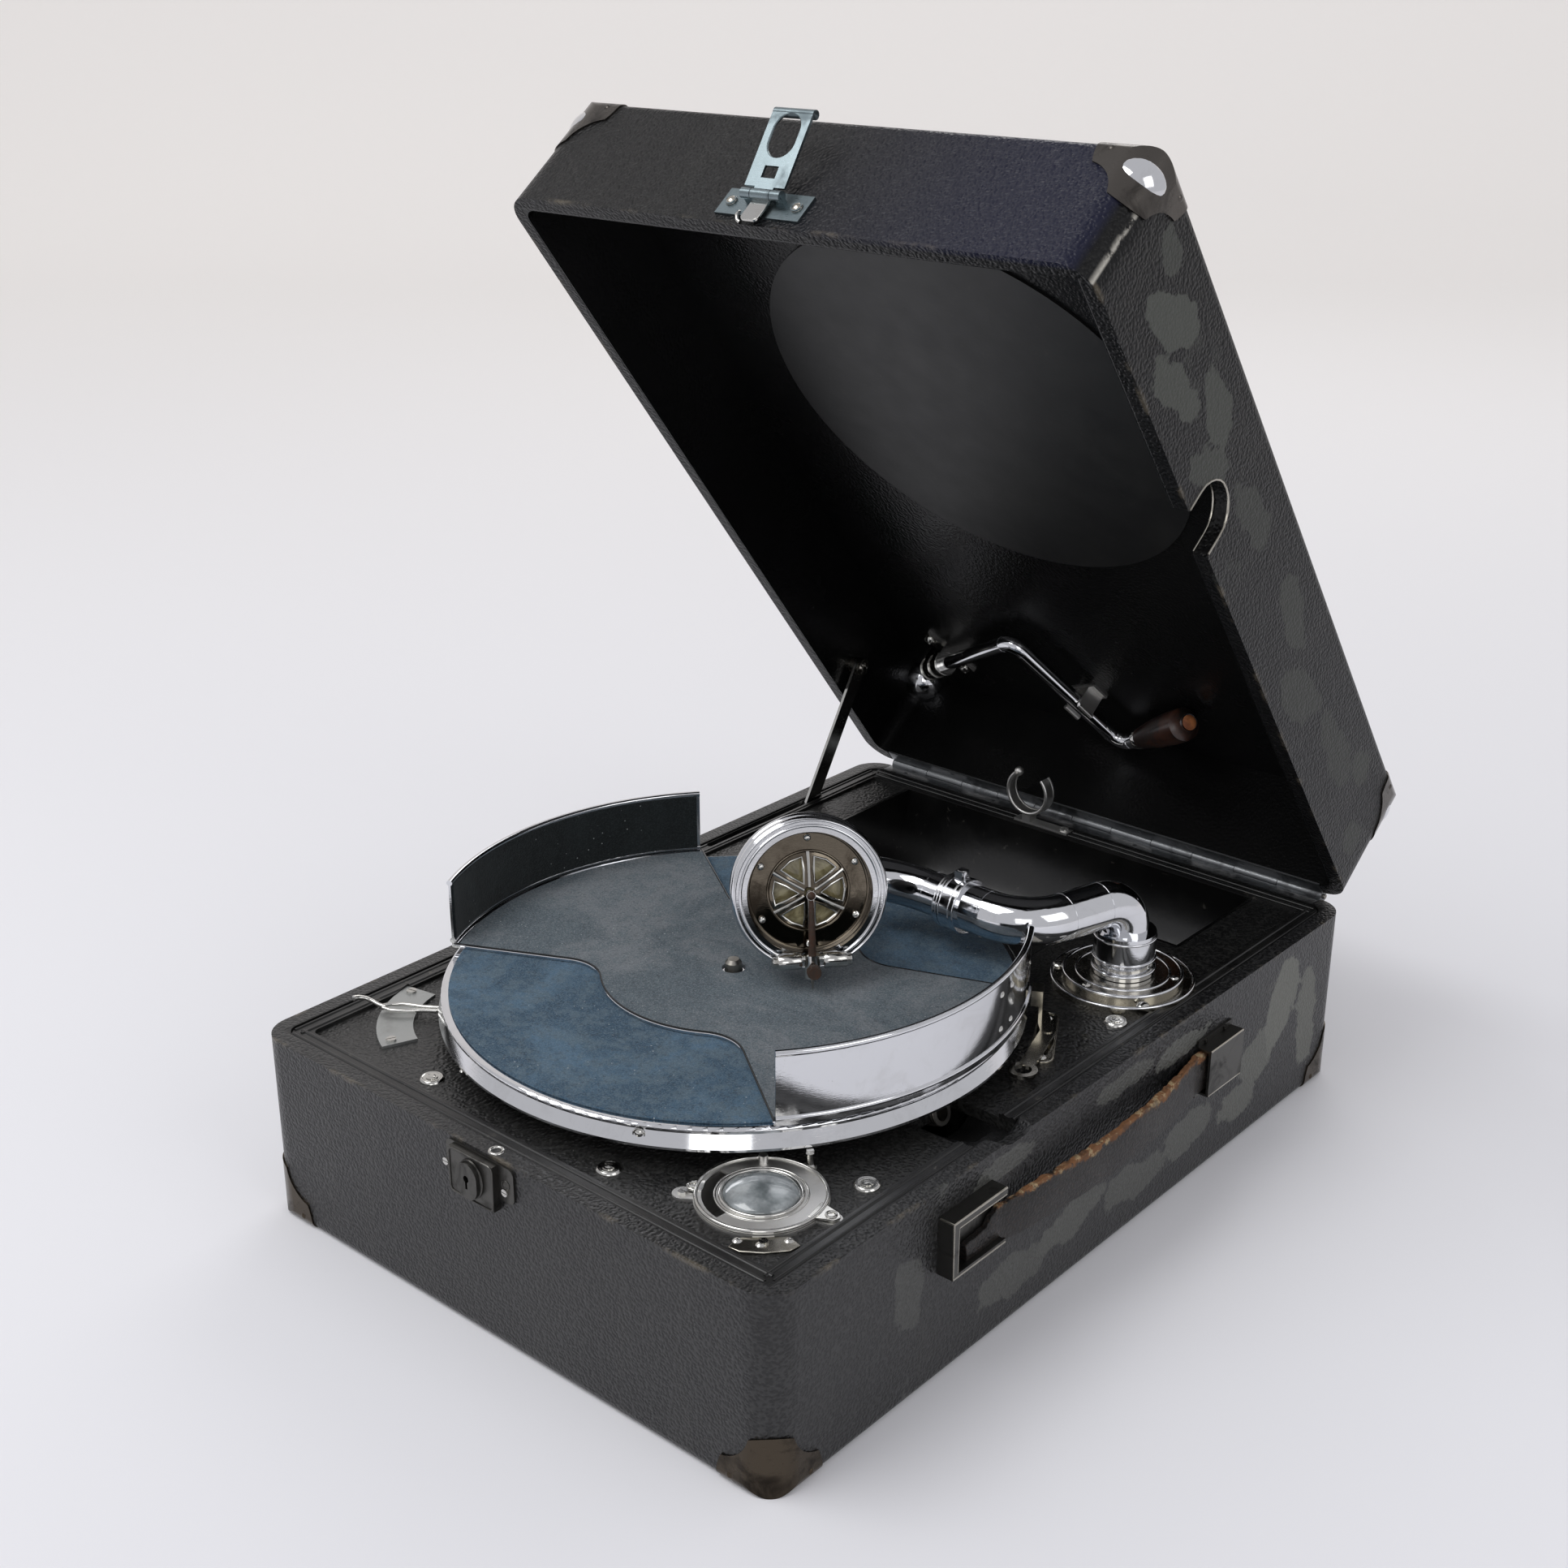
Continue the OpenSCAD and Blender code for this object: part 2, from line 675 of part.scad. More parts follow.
// Knuckles of one hinge leaf: every second length of the pin
module knuckles(first, side_z) {
    pitch = hinge_len / knuckle_n;
    for (i = [first : 2 : knuckle_n - 1]) {
        x0 = -hinge_len / 2 + i * pitch + gap / 2;
        translate([x0, hinge_y, hinge_z]) rotate([0, 90, 0]) cylinder(r = knuckle_r, h = pitch - gap);
        translate([x0, case_d / 2 - 1, side_z]) cube([pitch - gap, hinge_out + 1, leaf_t]);
    }
}

module hinge_bore() {
    translate([-hinge_len / 2 - 5, hinge_y, hinge_z]) rotate([0, 90, 0])
        cylinder(r = hinge_pin_r + run / 2, h = hinge_len + 10);
}

module hinge_base_leaf() {
    color([0.45, 0.44, 0.4]) difference() {
        union() {
            translate([-hinge_len / 2, case_d / 2 - leaf_w, rim_z - leaf_t])
                cube([hinge_len, leaf_w, leaf_t]);
            knuckles(0, rim_z - leaf_t);
        }
        hinge_bore();
    }
}

module hinge_lid_leaf() {
    color([0.45, 0.44, 0.4]) lid_pose() difference() {
        union() {
            translate([-hinge_len / 2, case_d / 2 - leaf_w, lid_z0]) cube([hinge_len, leaf_w, leaf_t]);
            knuckles(1, lid_z0);
        }
        hinge_bore();
    }
}

module hinge_pin() {
    color([0.6, 0.6, 0.58]) translate([-hinge_len / 2 - 1, hinge_y, hinge_z]) rotate([0, 90, 0])
        cylinder(r = hinge_pin_r, h = hinge_len + 2);
}

module lock_body() {
    boss_r = 6;
    color([0.5, 0.48, 0.42]) difference() {
        union() {
            translate([lock_x + 2.25, front_y, lock_z + 3]) rotate([90, 0, 0]) linear_extrude(1)
                rounded(lock_w + 13.5, lock_h - 4.5, 3);
            translate([lock_x - lock_w / 2, front_y - lock_out, lock_z - lock_h / 2])
                cube([lock_w, lock_out, lock_h]);
            translate([lock_x, front_y, lock_z]) rotate([90, 0, 0])
                linear_extrude(lock_out + hasp_t + 1.4) slot([0, -2], [0, 2], boss_r);
        }
        translate([lock_x, front_y - 8, lock_z + 1]) rotate([90, 0, 0]) translate([0, 0, -7])
            cylinder(r = 1.5, h = 12);
        translate([lock_x - 0.6, front_y - 9, lock_z - 3.5]) cube([1.2, 8, 4.5]);
    }
}

// Motor frame
module motor2d() {
    translate([plate_x, plate_y]) rounded(plate_w, plate_d, 10);
}

module motor_posts(r, z, h) {
    for (sx = [-1, 1], sy = [-1, 1])
        translate([plate_x + sx * (plate_w / 2 - post_in), plate_y + sy * (plate_d / 2 - post_in), z])
            cylinder(r = r, h = h);
}

module motor_top_plate() {
    color([0.55, 0.5, 0.3]) difference() {
        union() {
            translate([0, 0, plate_top_z]) linear_extrude(plate_t) motor2d();
            motor_posts(5, plate_top_z + plate_t, deck_z0 - plate_top_z - plate_t);
        }
        translate([tt_x, tt_y, plate_top_z - 1]) cylinder(r = spindle_r + run, h = plate_t + 2);
        translate([inter_x, inter_y, plate_top_z - 1]) cylinder(r = gov_shaft_r + run, h = plate_t + 2);
        translate([barrel_x - 4, barrel_y - 10.5, plate_top_z - 1])
            cube([bearing_x - barrel_x + 46, 21, plate_t + 2]);
    }
}

module motor_lower_plate() {
    color([0.55, 0.5, 0.3]) difference() {
        union() {
            translate([0, 0, plate_low_z]) linear_extrude(plate_t) motor2d();
            motor_posts(4, plate_low_z + plate_t, plate_top_z - plate_low_z - plate_t);
            translate([tt_x, tt_y, plate_low_z + plate_t]) cylinder(r = 6, h = 4);
            for (y = [gov_y0, gov_y1 - 3]) translate([gov_x - 4, y, plate_low_z + plate_t])
                cube([8, 3, worm_z - plate_low_z + 2]);
        }
        translate([tt_x, tt_y, plate_low_z + plate_t]) cylinder(r = spindle_r - 0.8 + run, h = 10);
        translate([inter_x, inter_y, plate_low_z - 1]) cylinder(r = gov_shaft_r + run, h = plate_t + 2);
        translate([barrel_x, barrel_y, plate_low_z - 1]) cylinder(r = arbor_r - 1 + run, h = plate_t + 2);
        translate([gov_x, gov_y0 - 1, worm_z]) rotate([-90, 0, 0])
            cylinder(r = gov_shaft_r + run, h = gov_y1 - gov_y0 + 2);
    }
}

module spindle_bearing() {
    color([0.7, 0.55, 0.25]) difference() {
        union() {
            translate([tt_x, tt_y, deck_z0 - 2]) cylinder(r = 13, h = 2);
            translate([tt_x, tt_y, deck_z0 - 1]) cylinder(r = 8.9, h = deck_t + 4.5);
        }
        translate([tt_x, tt_y, deck_z0 - 3]) cylinder(r = spindle_r + run, h = 30);
    }
}

// Frame of the winding shaft: +Z runs from the bevel apex up to the notch
module winding_line() {
    translate([barrel_x, barrel_y, bevel_z]) rotate([0, 90 - winding_slope, 0]) children();
}

module winding_bearing() {
    color([0.35, 0.34, 0.33]) difference() {
        translate([bearing_x, barrel_y - 10, deck_z0 - 18]) cube([10, 20, 18]);
        winding_line() cylinder(r = arbor_r + run, h = 70);
    }
}

module bevel_wheel(turn) {
    linear_extrude(height = bevel_h, scale = (bevel_apex - bevel_h) / bevel_apex) rotate(turn)
        gear2d(bevel_teeth, bevel_mod);
}

module winding_shaft() {
    socket_len = 10;
    end = (winding_end_x - barrel_x) / cos(winding_slope);
    color([0.55, 0.5, 0.42]) winding_line() difference() {
        union() {
            translate([0, 0, bevel_apex]) mirror([0, 0, 1]) bevel_wheel(180 / bevel_teeth);
            translate([0, 0, bevel_apex]) cylinder(r = 7, h = 2);
            translate([0, 0, bevel_apex + 1]) cylinder(r = arbor_r, h = end - socket_len - bevel_apex);
            translate([0, 0, end - socket_len]) cylinder(r = arbor_r + 0.2, h = socket_len);
        }
        translate([0, 0, end - 14]) cylinder(r = crank_r - 0.6, h = 20);
    }
}

module winding_arbor() {
    color([0.55, 0.5, 0.42]) translate([barrel_x, barrel_y, 0]) {
        translate([0, 0, bevel_z - bevel_apex]) bevel_wheel(0);
        translate([0, 0, bevel_z - bevel_apex - 1.2]) cylinder(r = 7, h = 1.2);
        translate([0, 0, plate_low_z + plate_t + gap])
            cylinder(r = arbor_r, h = bevel_z - bevel_apex - plate_low_z - plate_t - gap - 1);
        translate([0, 0, plate_low_z]) cylinder(r = arbor_r - 1, h = plate_t + gap + 1);
    }
}

// Turn that sets a driven wheel's gap opposite a tooth of its driver
function mesh_turn(az, turn_a, teeth_a, teeth_b) =
    az + 180 - 360 / teeth_b * (0.5 - (az - turn_a) * teeth_a / 360);

module spring_barrel() {
    inter_to_barrel = atan2(barrel_y - inter_y, barrel_x - inter_x);
    color([0.62, 0.5, 0.28]) translate([barrel_x, barrel_y, 0]) difference() {
        union() {
            translate([0, 0, barrel_z]) cylinder(r = barrel_r, h = barrel_h);
            translate([0, 0, barrel_rim_z]) linear_extrude(barrel_rim_t)
                rotate(mesh_turn(inter_to_barrel, 0, pinion_teeth, barrel_teeth))
                    gear2d(barrel_teeth, barrel_mod);
        }
        translate([0, 0, barrel_z + 1.5]) cylinder(r = barrel_r - 1.5, h = barrel_h - 3);
        translate([0, 0, barrel_z - 1]) cylinder(r = arbor_r + run, h = barrel_h + barrel_rim_t + 2);
    }
}

// Flat spring wound in the barrel, hooked to its wall
module mainspring() {
    turns = 7;
    steps = 24;
    r0 = arbor_r + 2;
    r1 = barrel_r - 1.9;
    t = 0.5;
    n = turns * steps;
    function at(i, off) = let (r = r0 + (r1 - r0) * i / n + off, a = i * 360 / steps)
        [r * cos(a), r * sin(a)];
    color([0.35, 0.38, 0.45]) translate([barrel_x, barrel_y, barrel_z + 2.2]) linear_extrude(barrel_h - 4.4)
        polygon(concat([for (i = [0 : n]) at(i, 0)], [for (i = [n : -1 : 0]) at(i, -t)]));
}

module intermediate_gear() {
    color([0.68, 0.55, 0.3]) translate([inter_x, inter_y, 0]) {
        translate([0, 0, wheel_z]) linear_extrude(wheel_t)
            rotate(mesh_turn(inter_az, 0, pinion_teeth, wheel_teeth)) gear2d(wheel_teeth, wheel_mod);
        translate([0, 0, barrel_rim_z - 0.5]) linear_extrude(barrel_rim_t + 1)
            gear2d(pinion_teeth, barrel_mod);
        translate([0, 0, barrel_rim_z + barrel_rim_t])
            cylinder(r = 4, h = wheel_z - barrel_rim_z - barrel_rim_t + 0.5);
        translate([0, 0, plate_low_z]) cylinder(r = gov_shaft_r, h = plate_top_z + plate_t - plate_low_z);
    }
}

module spindle() {
    low_r = spindle_r - 0.8;
    color([0.72, 0.72, 0.7]) translate([tt_x, tt_y, 0]) {
        translate([0, 0, plate_low_z + plate_t + gap])
            cylinder(r = low_r, h = wheel_z - plate_low_z - plate_t);
        translate([0, 0, wheel_z - 0.5]) linear_extrude(wheel_t + 1) gear2d(pinion_teeth, wheel_mod);
        translate([0, 0, wheel_z + wheel_t + 0.5])
            cylinder(r = spindle_r, h = felt_z + spindle_up - 1.5 - wheel_z - wheel_t - 0.5);
        translate([0, 0, felt_z + spindle_up - 1.5])
            cylinder(r1 = spindle_r, r2 = spindle_r - 1.2, h = 1.5);
    }
}

module worm_wheel() {
    color([0.4, 0.26, 0.14]) translate([tt_x, tt_y, worm_z]) difference() {
        union() {
            translate([0, 0, -worm_t / 2]) linear_extrude(worm_t) gear2d(worm_teeth, worm_mod);
            translate([0, 0, -3.5]) cylinder(r = 6.5, h = 7);
        }
        translate([0, 0, -6]) cylinder(r = spindle_r - 0.8 + run / 2, h = 12);
    }
}

module governor_shaft() {
    len = 16;
    core = worm_r - 0.4;
    color([0.65, 0.65, 0.62]) translate([gov_x, 0, worm_z]) rotate([-90, 0, 0]) {
        translate([0, 0, gov_y0]) cylinder(r = gov_shaft_r, h = gov_y1 - gov_y0);
        translate([0, 0, tt_y - len / 2]) rotate([0, 0, 180 + 180 * len / worm_pitch])
            linear_extrude(height = len, twist = 360 * len / worm_pitch, slices = 28)
                translate([worm_depth - 0.3, 0]) circle(core, $fn = 14);
        translate([0, 0, gov_y0 + 8]) cylinder(r = 15, h = 1.6);
        translate([0, 0, gov_y0 + 12]) cylinder(r = 4.5, h = 4);
        translate([0, 0, gov_y0 + gov_collar]) cylinder(r = 4.5, h = 4);
    }
}

// Three lead weights on leaf springs between the two collars
module governor_weights() {
    y0 = gov_y0 + 16;
    y1 = gov_y0 + gov_collar;
    mid = (y0 + y1) / 2;
    color([0.4, 0.4, 0.42]) translate([gov_x, 0, worm_z]) for (a = [0, 120, 240]) rotate([0, a, 0]) {
        translate([0, mid, 10.5]) cylinder(r = 4, h = 4);
        translate([-2, 0, 0]) rotate([90, 0, 90]) linear_extrude(4)
            polygon([[y0, 3.2], [mid - 4, 10], [mid + 4, 10], [y1, 3.2], [y1, 3.7], [mid + 4, 10.6],
                [mid - 4, 10.6], [y0, 3.7]]);
    }
}

// Arc-shaped plate under the speed lever, grown by a margin for its seat
module regulator_arc(grow, h) {
    translate([lever_px, lever_py, 0]) rotate([0, 0, reg_az - reg_half - grow])
        rotate_extrude(angle = 2 * (reg_half + grow)) translate([reg_r - grow, 0])
            square([reg_w + 2 * grow, h]);
}

module regulator_plate() {
    color([0.5, 0.48, 0.42]) translate([0, 0, deck_z]) regulator_arc(0, 1.2);
}

module speed_lever() {
    lever_len = reg_r + reg_w + 9;
    color([0.5, 0.48, 0.42]) translate([lever_px, lever_py, 0]) {
        translate([0, 0, deck_z + 2.6]) rotate([0, 0, reg_az]) {
            linear_extrude(1.5) slot([0, 0], [lever_len, 0], lever_stud_r + 0.4);
            translate([lever_len - 1, 0, 0.5]) cylinder(r = 2.2, h = 7);
        }
        translate([0, 0, deck_z0 - 2.5]) cylinder(r = lever_stud_r, h = deck_t + 5.5);
        translate([0, 0, deck_z0 - 3.5]) cylinder(r = lever_stud_r + 2, h = 3);
    }
}

// Frame on the deck beside the turntable rim: +X outward, +Y along the rim
module brake_frame() {
    translate([tt_x + brake_r * cos(brake_az), tt_y + brake_r * sin(brake_az), deck_z])
        rotate([0, 0, brake_az]) children();
}

module brake_plate() {
    color([0.5, 0.48, 0.42]) brake_frame() {
        linear_extrude(1.5) slot([0, -17], [0, 17], 5);
        translate([1, 0, 0]) cylinder(r = brake_stud_r, h = 5);
    }
}

module brake_lever() {
    color([0.45, 0.4, 0.33]) brake_frame() difference() {
        union() {
            translate([0, 0, 3.2]) linear_extrude(1.4) {
                slot([1, 0], [-5, -28], 3.2);
                slot([1, 0], [-2.5, 15], 3);
            }
            translate([-6.4, -34, 3.2]) ring(6, 3.6, 1.6);
            translate([-3.8, 11, 3.2]) cube([1.5, 8, 13.8]);
            translate([-7.2, 11, 10]) cube([3.4, 8, 7]);
        }
        translate([1, 0, 0]) cylinder(r = brake_stud_r + run, h = 8);
    }
}

module needle_cup() {
    color([0.45, 0.43, 0.38]) translate([cup_x, cup_y, deck_z]) {
        difference() {
            union() {
                translate([0, 0, -cup_depth]) cylinder(r = cup_r - 1.5, h = cup_depth + 0.5);
                cylinder(r = cup_r + 0.5, h = 0.8);
                linear_extrude(0.8) for (q = cup_ears)
                    slot([0, 0], [q[1] * cos(q[0]), q[1] * sin(q[0])], 4);
                translate([0, cup_r + 2, 0]) cylinder(r = 3, h = 0.8);
                translate([0, cup_r + 2.5, 0]) cylinder(r = 1.4, h = 8);
            }
            translate([0, 0, 1 - cup_depth]) cylinder(r = cup_r - 2.5, h = cup_depth + 2);
        }
        translate([0, 0, 0.5 - cup_depth]) cylinder(r = 2.5, h = cup_depth + 2.5);
    }
}

module needle_cup_cover() {
    dome_r = 14.4;
    dome_h = 4;
    ball_r = (dome_r * dome_r + dome_h * dome_h) / (2 * dome_h);
    color([0.6, 0.58, 0.5]) translate([cup_x, cup_y, deck_z + 0.8 + gap]) difference() {
        union() {
            cylinder(r = cup_r, h = 1);
            intersection() {
                translate([0, 0, 1 + dome_h - ball_r]) sphere(r = ball_r);
                cylinder(r = dome_r, h = 10);
            }
            rotate([0, 0, 130]) translate([cup_r - 3, 0, 0.5]) cylinder(r = 1.8, h = 3.4);
        }
        translate([0, 0, -1]) cylinder(r = 2.5 + run, h = 3.6);
        // crescent that shows the needles
        rotate([0, 0, 175]) rotate_extrude(angle = 90) translate([dome_r + 2.5, -1]) square([5.5, 4]);
    }
}

module arm_base() {
    color([0.75, 0.75, 0.74]) translate([arm_x, arm_y, deck_z]) difference() {
        union() {
            cylinder(r = arm_flange_r, h = 3);
            translate([0, 0, 2]) cylinder(r = arm_flange_r - 6, h = 4);
            cylinder(r = arm_r + 1, h = 21);
            translate([0, 0, -deck_t - 4]) cylinder(r = arm_r, h = deck_t + 5);
        }
        translate([0, 0, -20]) cylinder(r = arm_r - arm_wall, h = 60);
    }
}

module arm_clip() {
    ring_z = deck_z + trim_h + 17;
    in_r = arm_r + 0.6;
    color([0.6, 0.58, 0.52]) {
        translate([clip_x - 7.5, clip_y - 3, deck_z + trim_h - 0.4]) cube([33, 6, 1.2]);
        translate([clip_x - 2.5, clip_y - 3, deck_z + trim_h]) cube([5, 6, 17 - in_r - 0.3]);
        translate([clip_x, clip_y + 3, ring_z]) rotate([90, 0, 0]) rotate([0, 0, 130])
            rotate_extrude(angle = 275)
            translate([in_r, 0]) square([1.3, 6]);
        translate([clip_x + (in_r + 0.6) * cos(130), clip_y, ring_z + (in_r + 0.6) * sin(130)])
            sphere(r = 2.4);
        translate([clip_x + 22, clip_y, deck_z + trim_h + 0.6]) screw_head(screw_r, 1.4);
    }
}

// Path of the tone arm: up from the pivot, over, along, round and to the collar
module arm_path_start() {
    translate([arm_x, arm_y, arm_z]) rotate([0, 0, arm_heading]) translate([elbow_r, 0, 0]) children();
}

module arm_path_end() {
    arm_path_start() translate([arm_straight + arm_bend_r * sin(arm_bend),
        -arm_bend_r * (1 - cos(arm_bend)), 0])
        rotate([0, 0, -arm_bend]) children();
}

// The run of the tone arm from its elbow to its collar as one bent rod
module arm_run(r) {
    translate([arm_x, arm_y, arm_z - elbow_r]) rotate([0, 0, arm_heading]) rotate([0, -90, -90])
        bend(elbow_r, 90, r);
    arm_path_start() {
        seam(r);
        rod(arm_straight, r);
        translate([arm_straight, 0, 0]) {
            seam(r);
            mirror([0, 1, 0]) bend(arm_bend_r, arm_bend, r);
        }
    }
    arm_path_end() {
        seam(r);
        rod(arm_end - collar_len + seam_w / 2, r);
    }
}

module tone_arm() {
    in_r = arm_r - arm_wall;
    color([0.78, 0.78, 0.77]) difference() {
        union() {
            // sleeve on the upright tube of the base
            translate([arm_x, arm_y, deck_z + 6 + gap])
                cylinder(r = arm_r + 3.2, h = sleeve_top - deck_z - 6 - gap);
            arm_run(arm_r);
            arm_path_end() translate([arm_end - collar_len, 0, 0]) {
                rod(collar_len, arm_r + 1.6);
                translate([3, -2.5, arm_r + 1]) cube([4, 5, 4.5]);
            }
        }
        translate([arm_x, arm_y, deck_z]) cylinder(r = arm_r + 1 + run, h = 21.6);
        translate([arm_x, arm_y, deck_z]) cylinder(r = in_r + seam_h, h = sleeve_top - deck_z);
        arm_run(in_r);
        arm_path_end() translate([arm_end - collar_len + seam_w / 2, 0, 0]) rod(collar_len, goose_r + run);
    }
}

// Frame of the gooseneck: +X along its axis, level with the arm tube
module goose_frame() {
    arm_path_end() translate([arm_end, 0, 0]) rotate([goose_roll, 0, 0]) children();
}

module goose_run(r, past) {
    translate([seam_w - collar_len - past, 0, 0]) rod(goose_straight + collar_len - seam_w + past, r);
    translate([goose_straight, 0, 0]) {
        seam(r);
        bend(goose_bend_r, goose_bend, r);
    }
    goose_end() {
        seam(r);
        rod(3 + past, r);
    }
}

module gooseneck() {
    color([0.78, 0.78, 0.77]) goose_frame() difference() {
        union() {
            goose_run(goose_r, 0);
            translate([gap, 0, 0]) rod(2.5, arm_r + 1.6);
        }
        goose_run(goose_r - 1, 1);
    }
}

module goose_end() {
    translate([goose_straight + goose_bend_r * sin(goose_bend), goose_bend_r * (1 - cos(goose_bend)), 0])
        rotate([0, 0, goose_bend]) children();
}

// Frame of the sound box: +Z out of its front, +X down to the needle
module sound_frame() {
    goose_frame() goose_end() rotate([0, 90, 0]) rotate([0, 0, sound_turn]) children();
}

module soundbox_back() {
    color([0.3, 0.29, 0.28]) sound_frame() difference() {
        union() {
            translate([0, 0, 2]) cylinder(r = sound_r - 2, h = sound_z - 2);
            translate([0, 0, -3]) cylinder(r = goose_r + 3, h = 6);
        }
        translate([0, 0, -4]) cylinder(r = goose_r + 0.12, h = 7 + run);
        cylinder(r = goose_r - 1.6, h = 30);
    }
}

module soundbox_ring() {
    in_r = diaphragm_r + 1;
    color([0.8, 0.8, 0.79]) sound_frame() difference() {
        translate([0, 0, sound_z]) rotate_extrude($fn = 96) {
            translate([in_r, 0]) square([sound_r - 1.8 - in_r, sound_t]);
            translate([sound_r - 2.2, 2.2]) circle(2.2, $fn = 24);
            translate([sound_r - 2.4, sound_t - 2.6]) circle(2.4, $fn = 24);
        }
        // notch for the needle clamp
        translate([in_r - 3, -pivot_half - 1, stylus_z - 4.2]) cube([20, 2 * pivot_half + 2, 12]);
    }
}

module diaphragm() {
    color([0.8, 0.72, 0.5]) sound_frame() translate([0, 0, sound_z + 2]) cylinder(r = diaphragm_r, h = 0.4);
}

// Domed guard in front of the diaphragm, pierced between its ribs
module soundbox_cover() {
    dome_r = 17;
    dome_h = 4;
    sheet = 0.9;
    ball_r = (dome_r * dome_r + dome_h * dome_h) / (2 * dome_h);
    color([0.45, 0.36, 0.25]) sound_frame() translate([0, 0, sound_z + 4]) {
        difference() {
            union() {
                cylinder(r = diaphragm_r + 0.9, h = sheet);
                intersection() {
                    translate([0, 0, sheet + dome_h - ball_r]) sphere(r = ball_r);
                    cylinder(r = dome_r, h = dome_h + 2);
                }
            }
            intersection() {
                translate([0, 0, dome_h - ball_r]) sphere(r = ball_r);
                translate([0, 0, -1]) cylinder(r = dome_r - sheet, h = dome_h + 2);
            }
            translate([0, 0, -1]) for (a = [0 : 60 : 300]) rotate([0, 0, a + 30]) linear_extrude(dome_h + 4)
                polygon([[4, 0], [dome_r - 2.5, -5.8], [dome_r - 2.5, 5.8]]);
            translate([0, 0, -1]) cylinder(r = 2.2, h = dome_h + 4);
        }
        for (a = [0 : 60 : 300]) rotate([0, 0, a]) translate([diaphragm_r - 2.6, 0, sheet - 0.2])
            cylinder(r = 1.4, h = 1);
    }
}

module stylus_bar() {
    color([0.6, 0.57, 0.5]) sound_frame() difference() {
        union() {
            translate([diaphragm_r + 0.5, 0, stylus_z]) rod(10, 3.4);
            translate([diaphragm_r + 2.5, pivot_half, stylus_z]) rotate([90, 0, 0])
                cylinder(r = 1.8, h = 2 * pivot_half);
            translate([-2, -1.3, stylus_z + 0.6]) cube([diaphragm_r + 5, 2.6, 1.3]);
            translate([0, 0, sound_z + 2.4]) cylinder(r = 1.1, h = stylus_z - sound_z - 1);
            translate([0, 0, stylus_z + 0.6]) cylinder(r = 2, h = 2.2);
        }
        translate([diaphragm_r + 3, 0, stylus_z]) rod(12, needle_r + 0.02);
        translate([sound_r - 1, 0, stylus_z]) cylinder(r = 1 + run, h = 10);
    }
}

module needle() {
    tip = 4;
    color([0.6, 0.6, 0.6]) sound_frame() translate([0, 0, stylus_z]) {
        translate([diaphragm_r + 3.3, 0, 0]) rod(needle_reach - tip - diaphragm_r - 3.3, needle_r);
        translate([needle_reach - tip, 0, 0]) rotate([0, 90, 0])
            cylinder(r1 = needle_r, r2 = 0.15, h = tip);
    }
}

module needle_screw() {
    color([0.42, 0.25, 0.16]) sound_frame() translate([sound_r - 1, 0, stylus_z + needle_r + 0.05]) {
        cylinder(r = 1, h = 7);
        translate([0, 0, 3.2]) difference() {
            cylinder(r = 2.8, h = 4);
            for (a = [0 : 45 : 315]) rotate([0, 0, a]) translate([3.1, 0, -1])
                cylinder(r = 0.6, h = 6, $fn = 16);
        }
    }
}

module turntable() {
    bead_r = 1.2;
    neck_r = tt_r - 2.5;
    skirt_h = tt_rim_h - 4.2;
    color([0.55, 0.55, 0.54]) translate([tt_x, tt_y, 0]) difference() {
        union() {
            translate([0, 0, tt_z0]) cylinder(r = tt_r, h = 1, $fn = 96);
            translate([0, 0, tt_z0 + 1]) cylinder(r1 = tt_r, r2 = neck_r, h = skirt_h, $fn = 96);
            translate([0, 0, tt_z0 + 1 + skirt_h - eps])
                cylinder(r = neck_r, h = tt_rim_h - skirt_h - 1 + eps, $fn = 96);
            translate([0, 0, tt_z - bead_r]) rotate_extrude($fn = 96) translate([neck_r, 0])
                circle(bead_r, $fn = 24);
        }
        translate([0, 0, tt_z0 - 1])
            cylinder(r1 = tt_r - 2.5, r2 = neck_r - 2.5, h = tt_rim_h - tt_t + 1, $fn = 96);
        translate([0, 0, tt_z0]) cylinder(r = spindle_r + run / 2, h = 30);
    }
}

module turntable_felt() {
    color([0.33, 0.39, 0.45]) translate([tt_x, tt_y, tt_z]) ring(felt_r, spindle_r + 0.3, felt_t);
}

// Across, along and rim heading of a wing's edge line
function edge_n(e) = [cos(e[0] + e[2] * 90), sin(e[0] + e[2] * 90)];
function edge_u(e) = [cos(e[0]), sin(e[0])];
function rim_az(e) = e[0] + e[2] * (asin(e[1] / tray_r) - 0.2);

module tray_edge_fillet(e) {
    rf = tray_fillet_r;
    c = edge_n(e) * (e[1] + rf) + edge_u(e) * sqrt(pow(tray_hub_r + rf, 2) - pow(e[1] + rf, 2));
    on_hub = c * 0.9 * tray_hub_r / (tray_hub_r + rf);
    patch = [c - edge_n(e) * (rf + 2), c, on_hub, edge_n(e) * (e[1] - 2) + edge_u(e) * tray_hub_r * 0.6];
    difference() {
        polygon(e[2] > 0 ? patch : [patch[3], patch[2], patch[1], patch[0]]);
        translate(c) circle(rf + 0.1);
    }
}

module tray2d() {
    circle(tray_hub_r);
    for (w = [wing_right, wing_left]) {
        a = w[0];
        b = w[1];
        intersection() {
            circle(tray_r - tray_wall_t / 2, $fn = 96);
            polygon([[0, 0], edge_n(a) * a[1], edge_n(a) * a[1] + edge_u(a) * 160,
                (edge_u(a) + edge_u(b)) * 160, edge_n(b) * b[1] + edge_u(b) * 160, edge_n(b) * b[1]]);
        }
        tray_edge_fillet(a);
        tray_edge_fillet(b);
    }
}

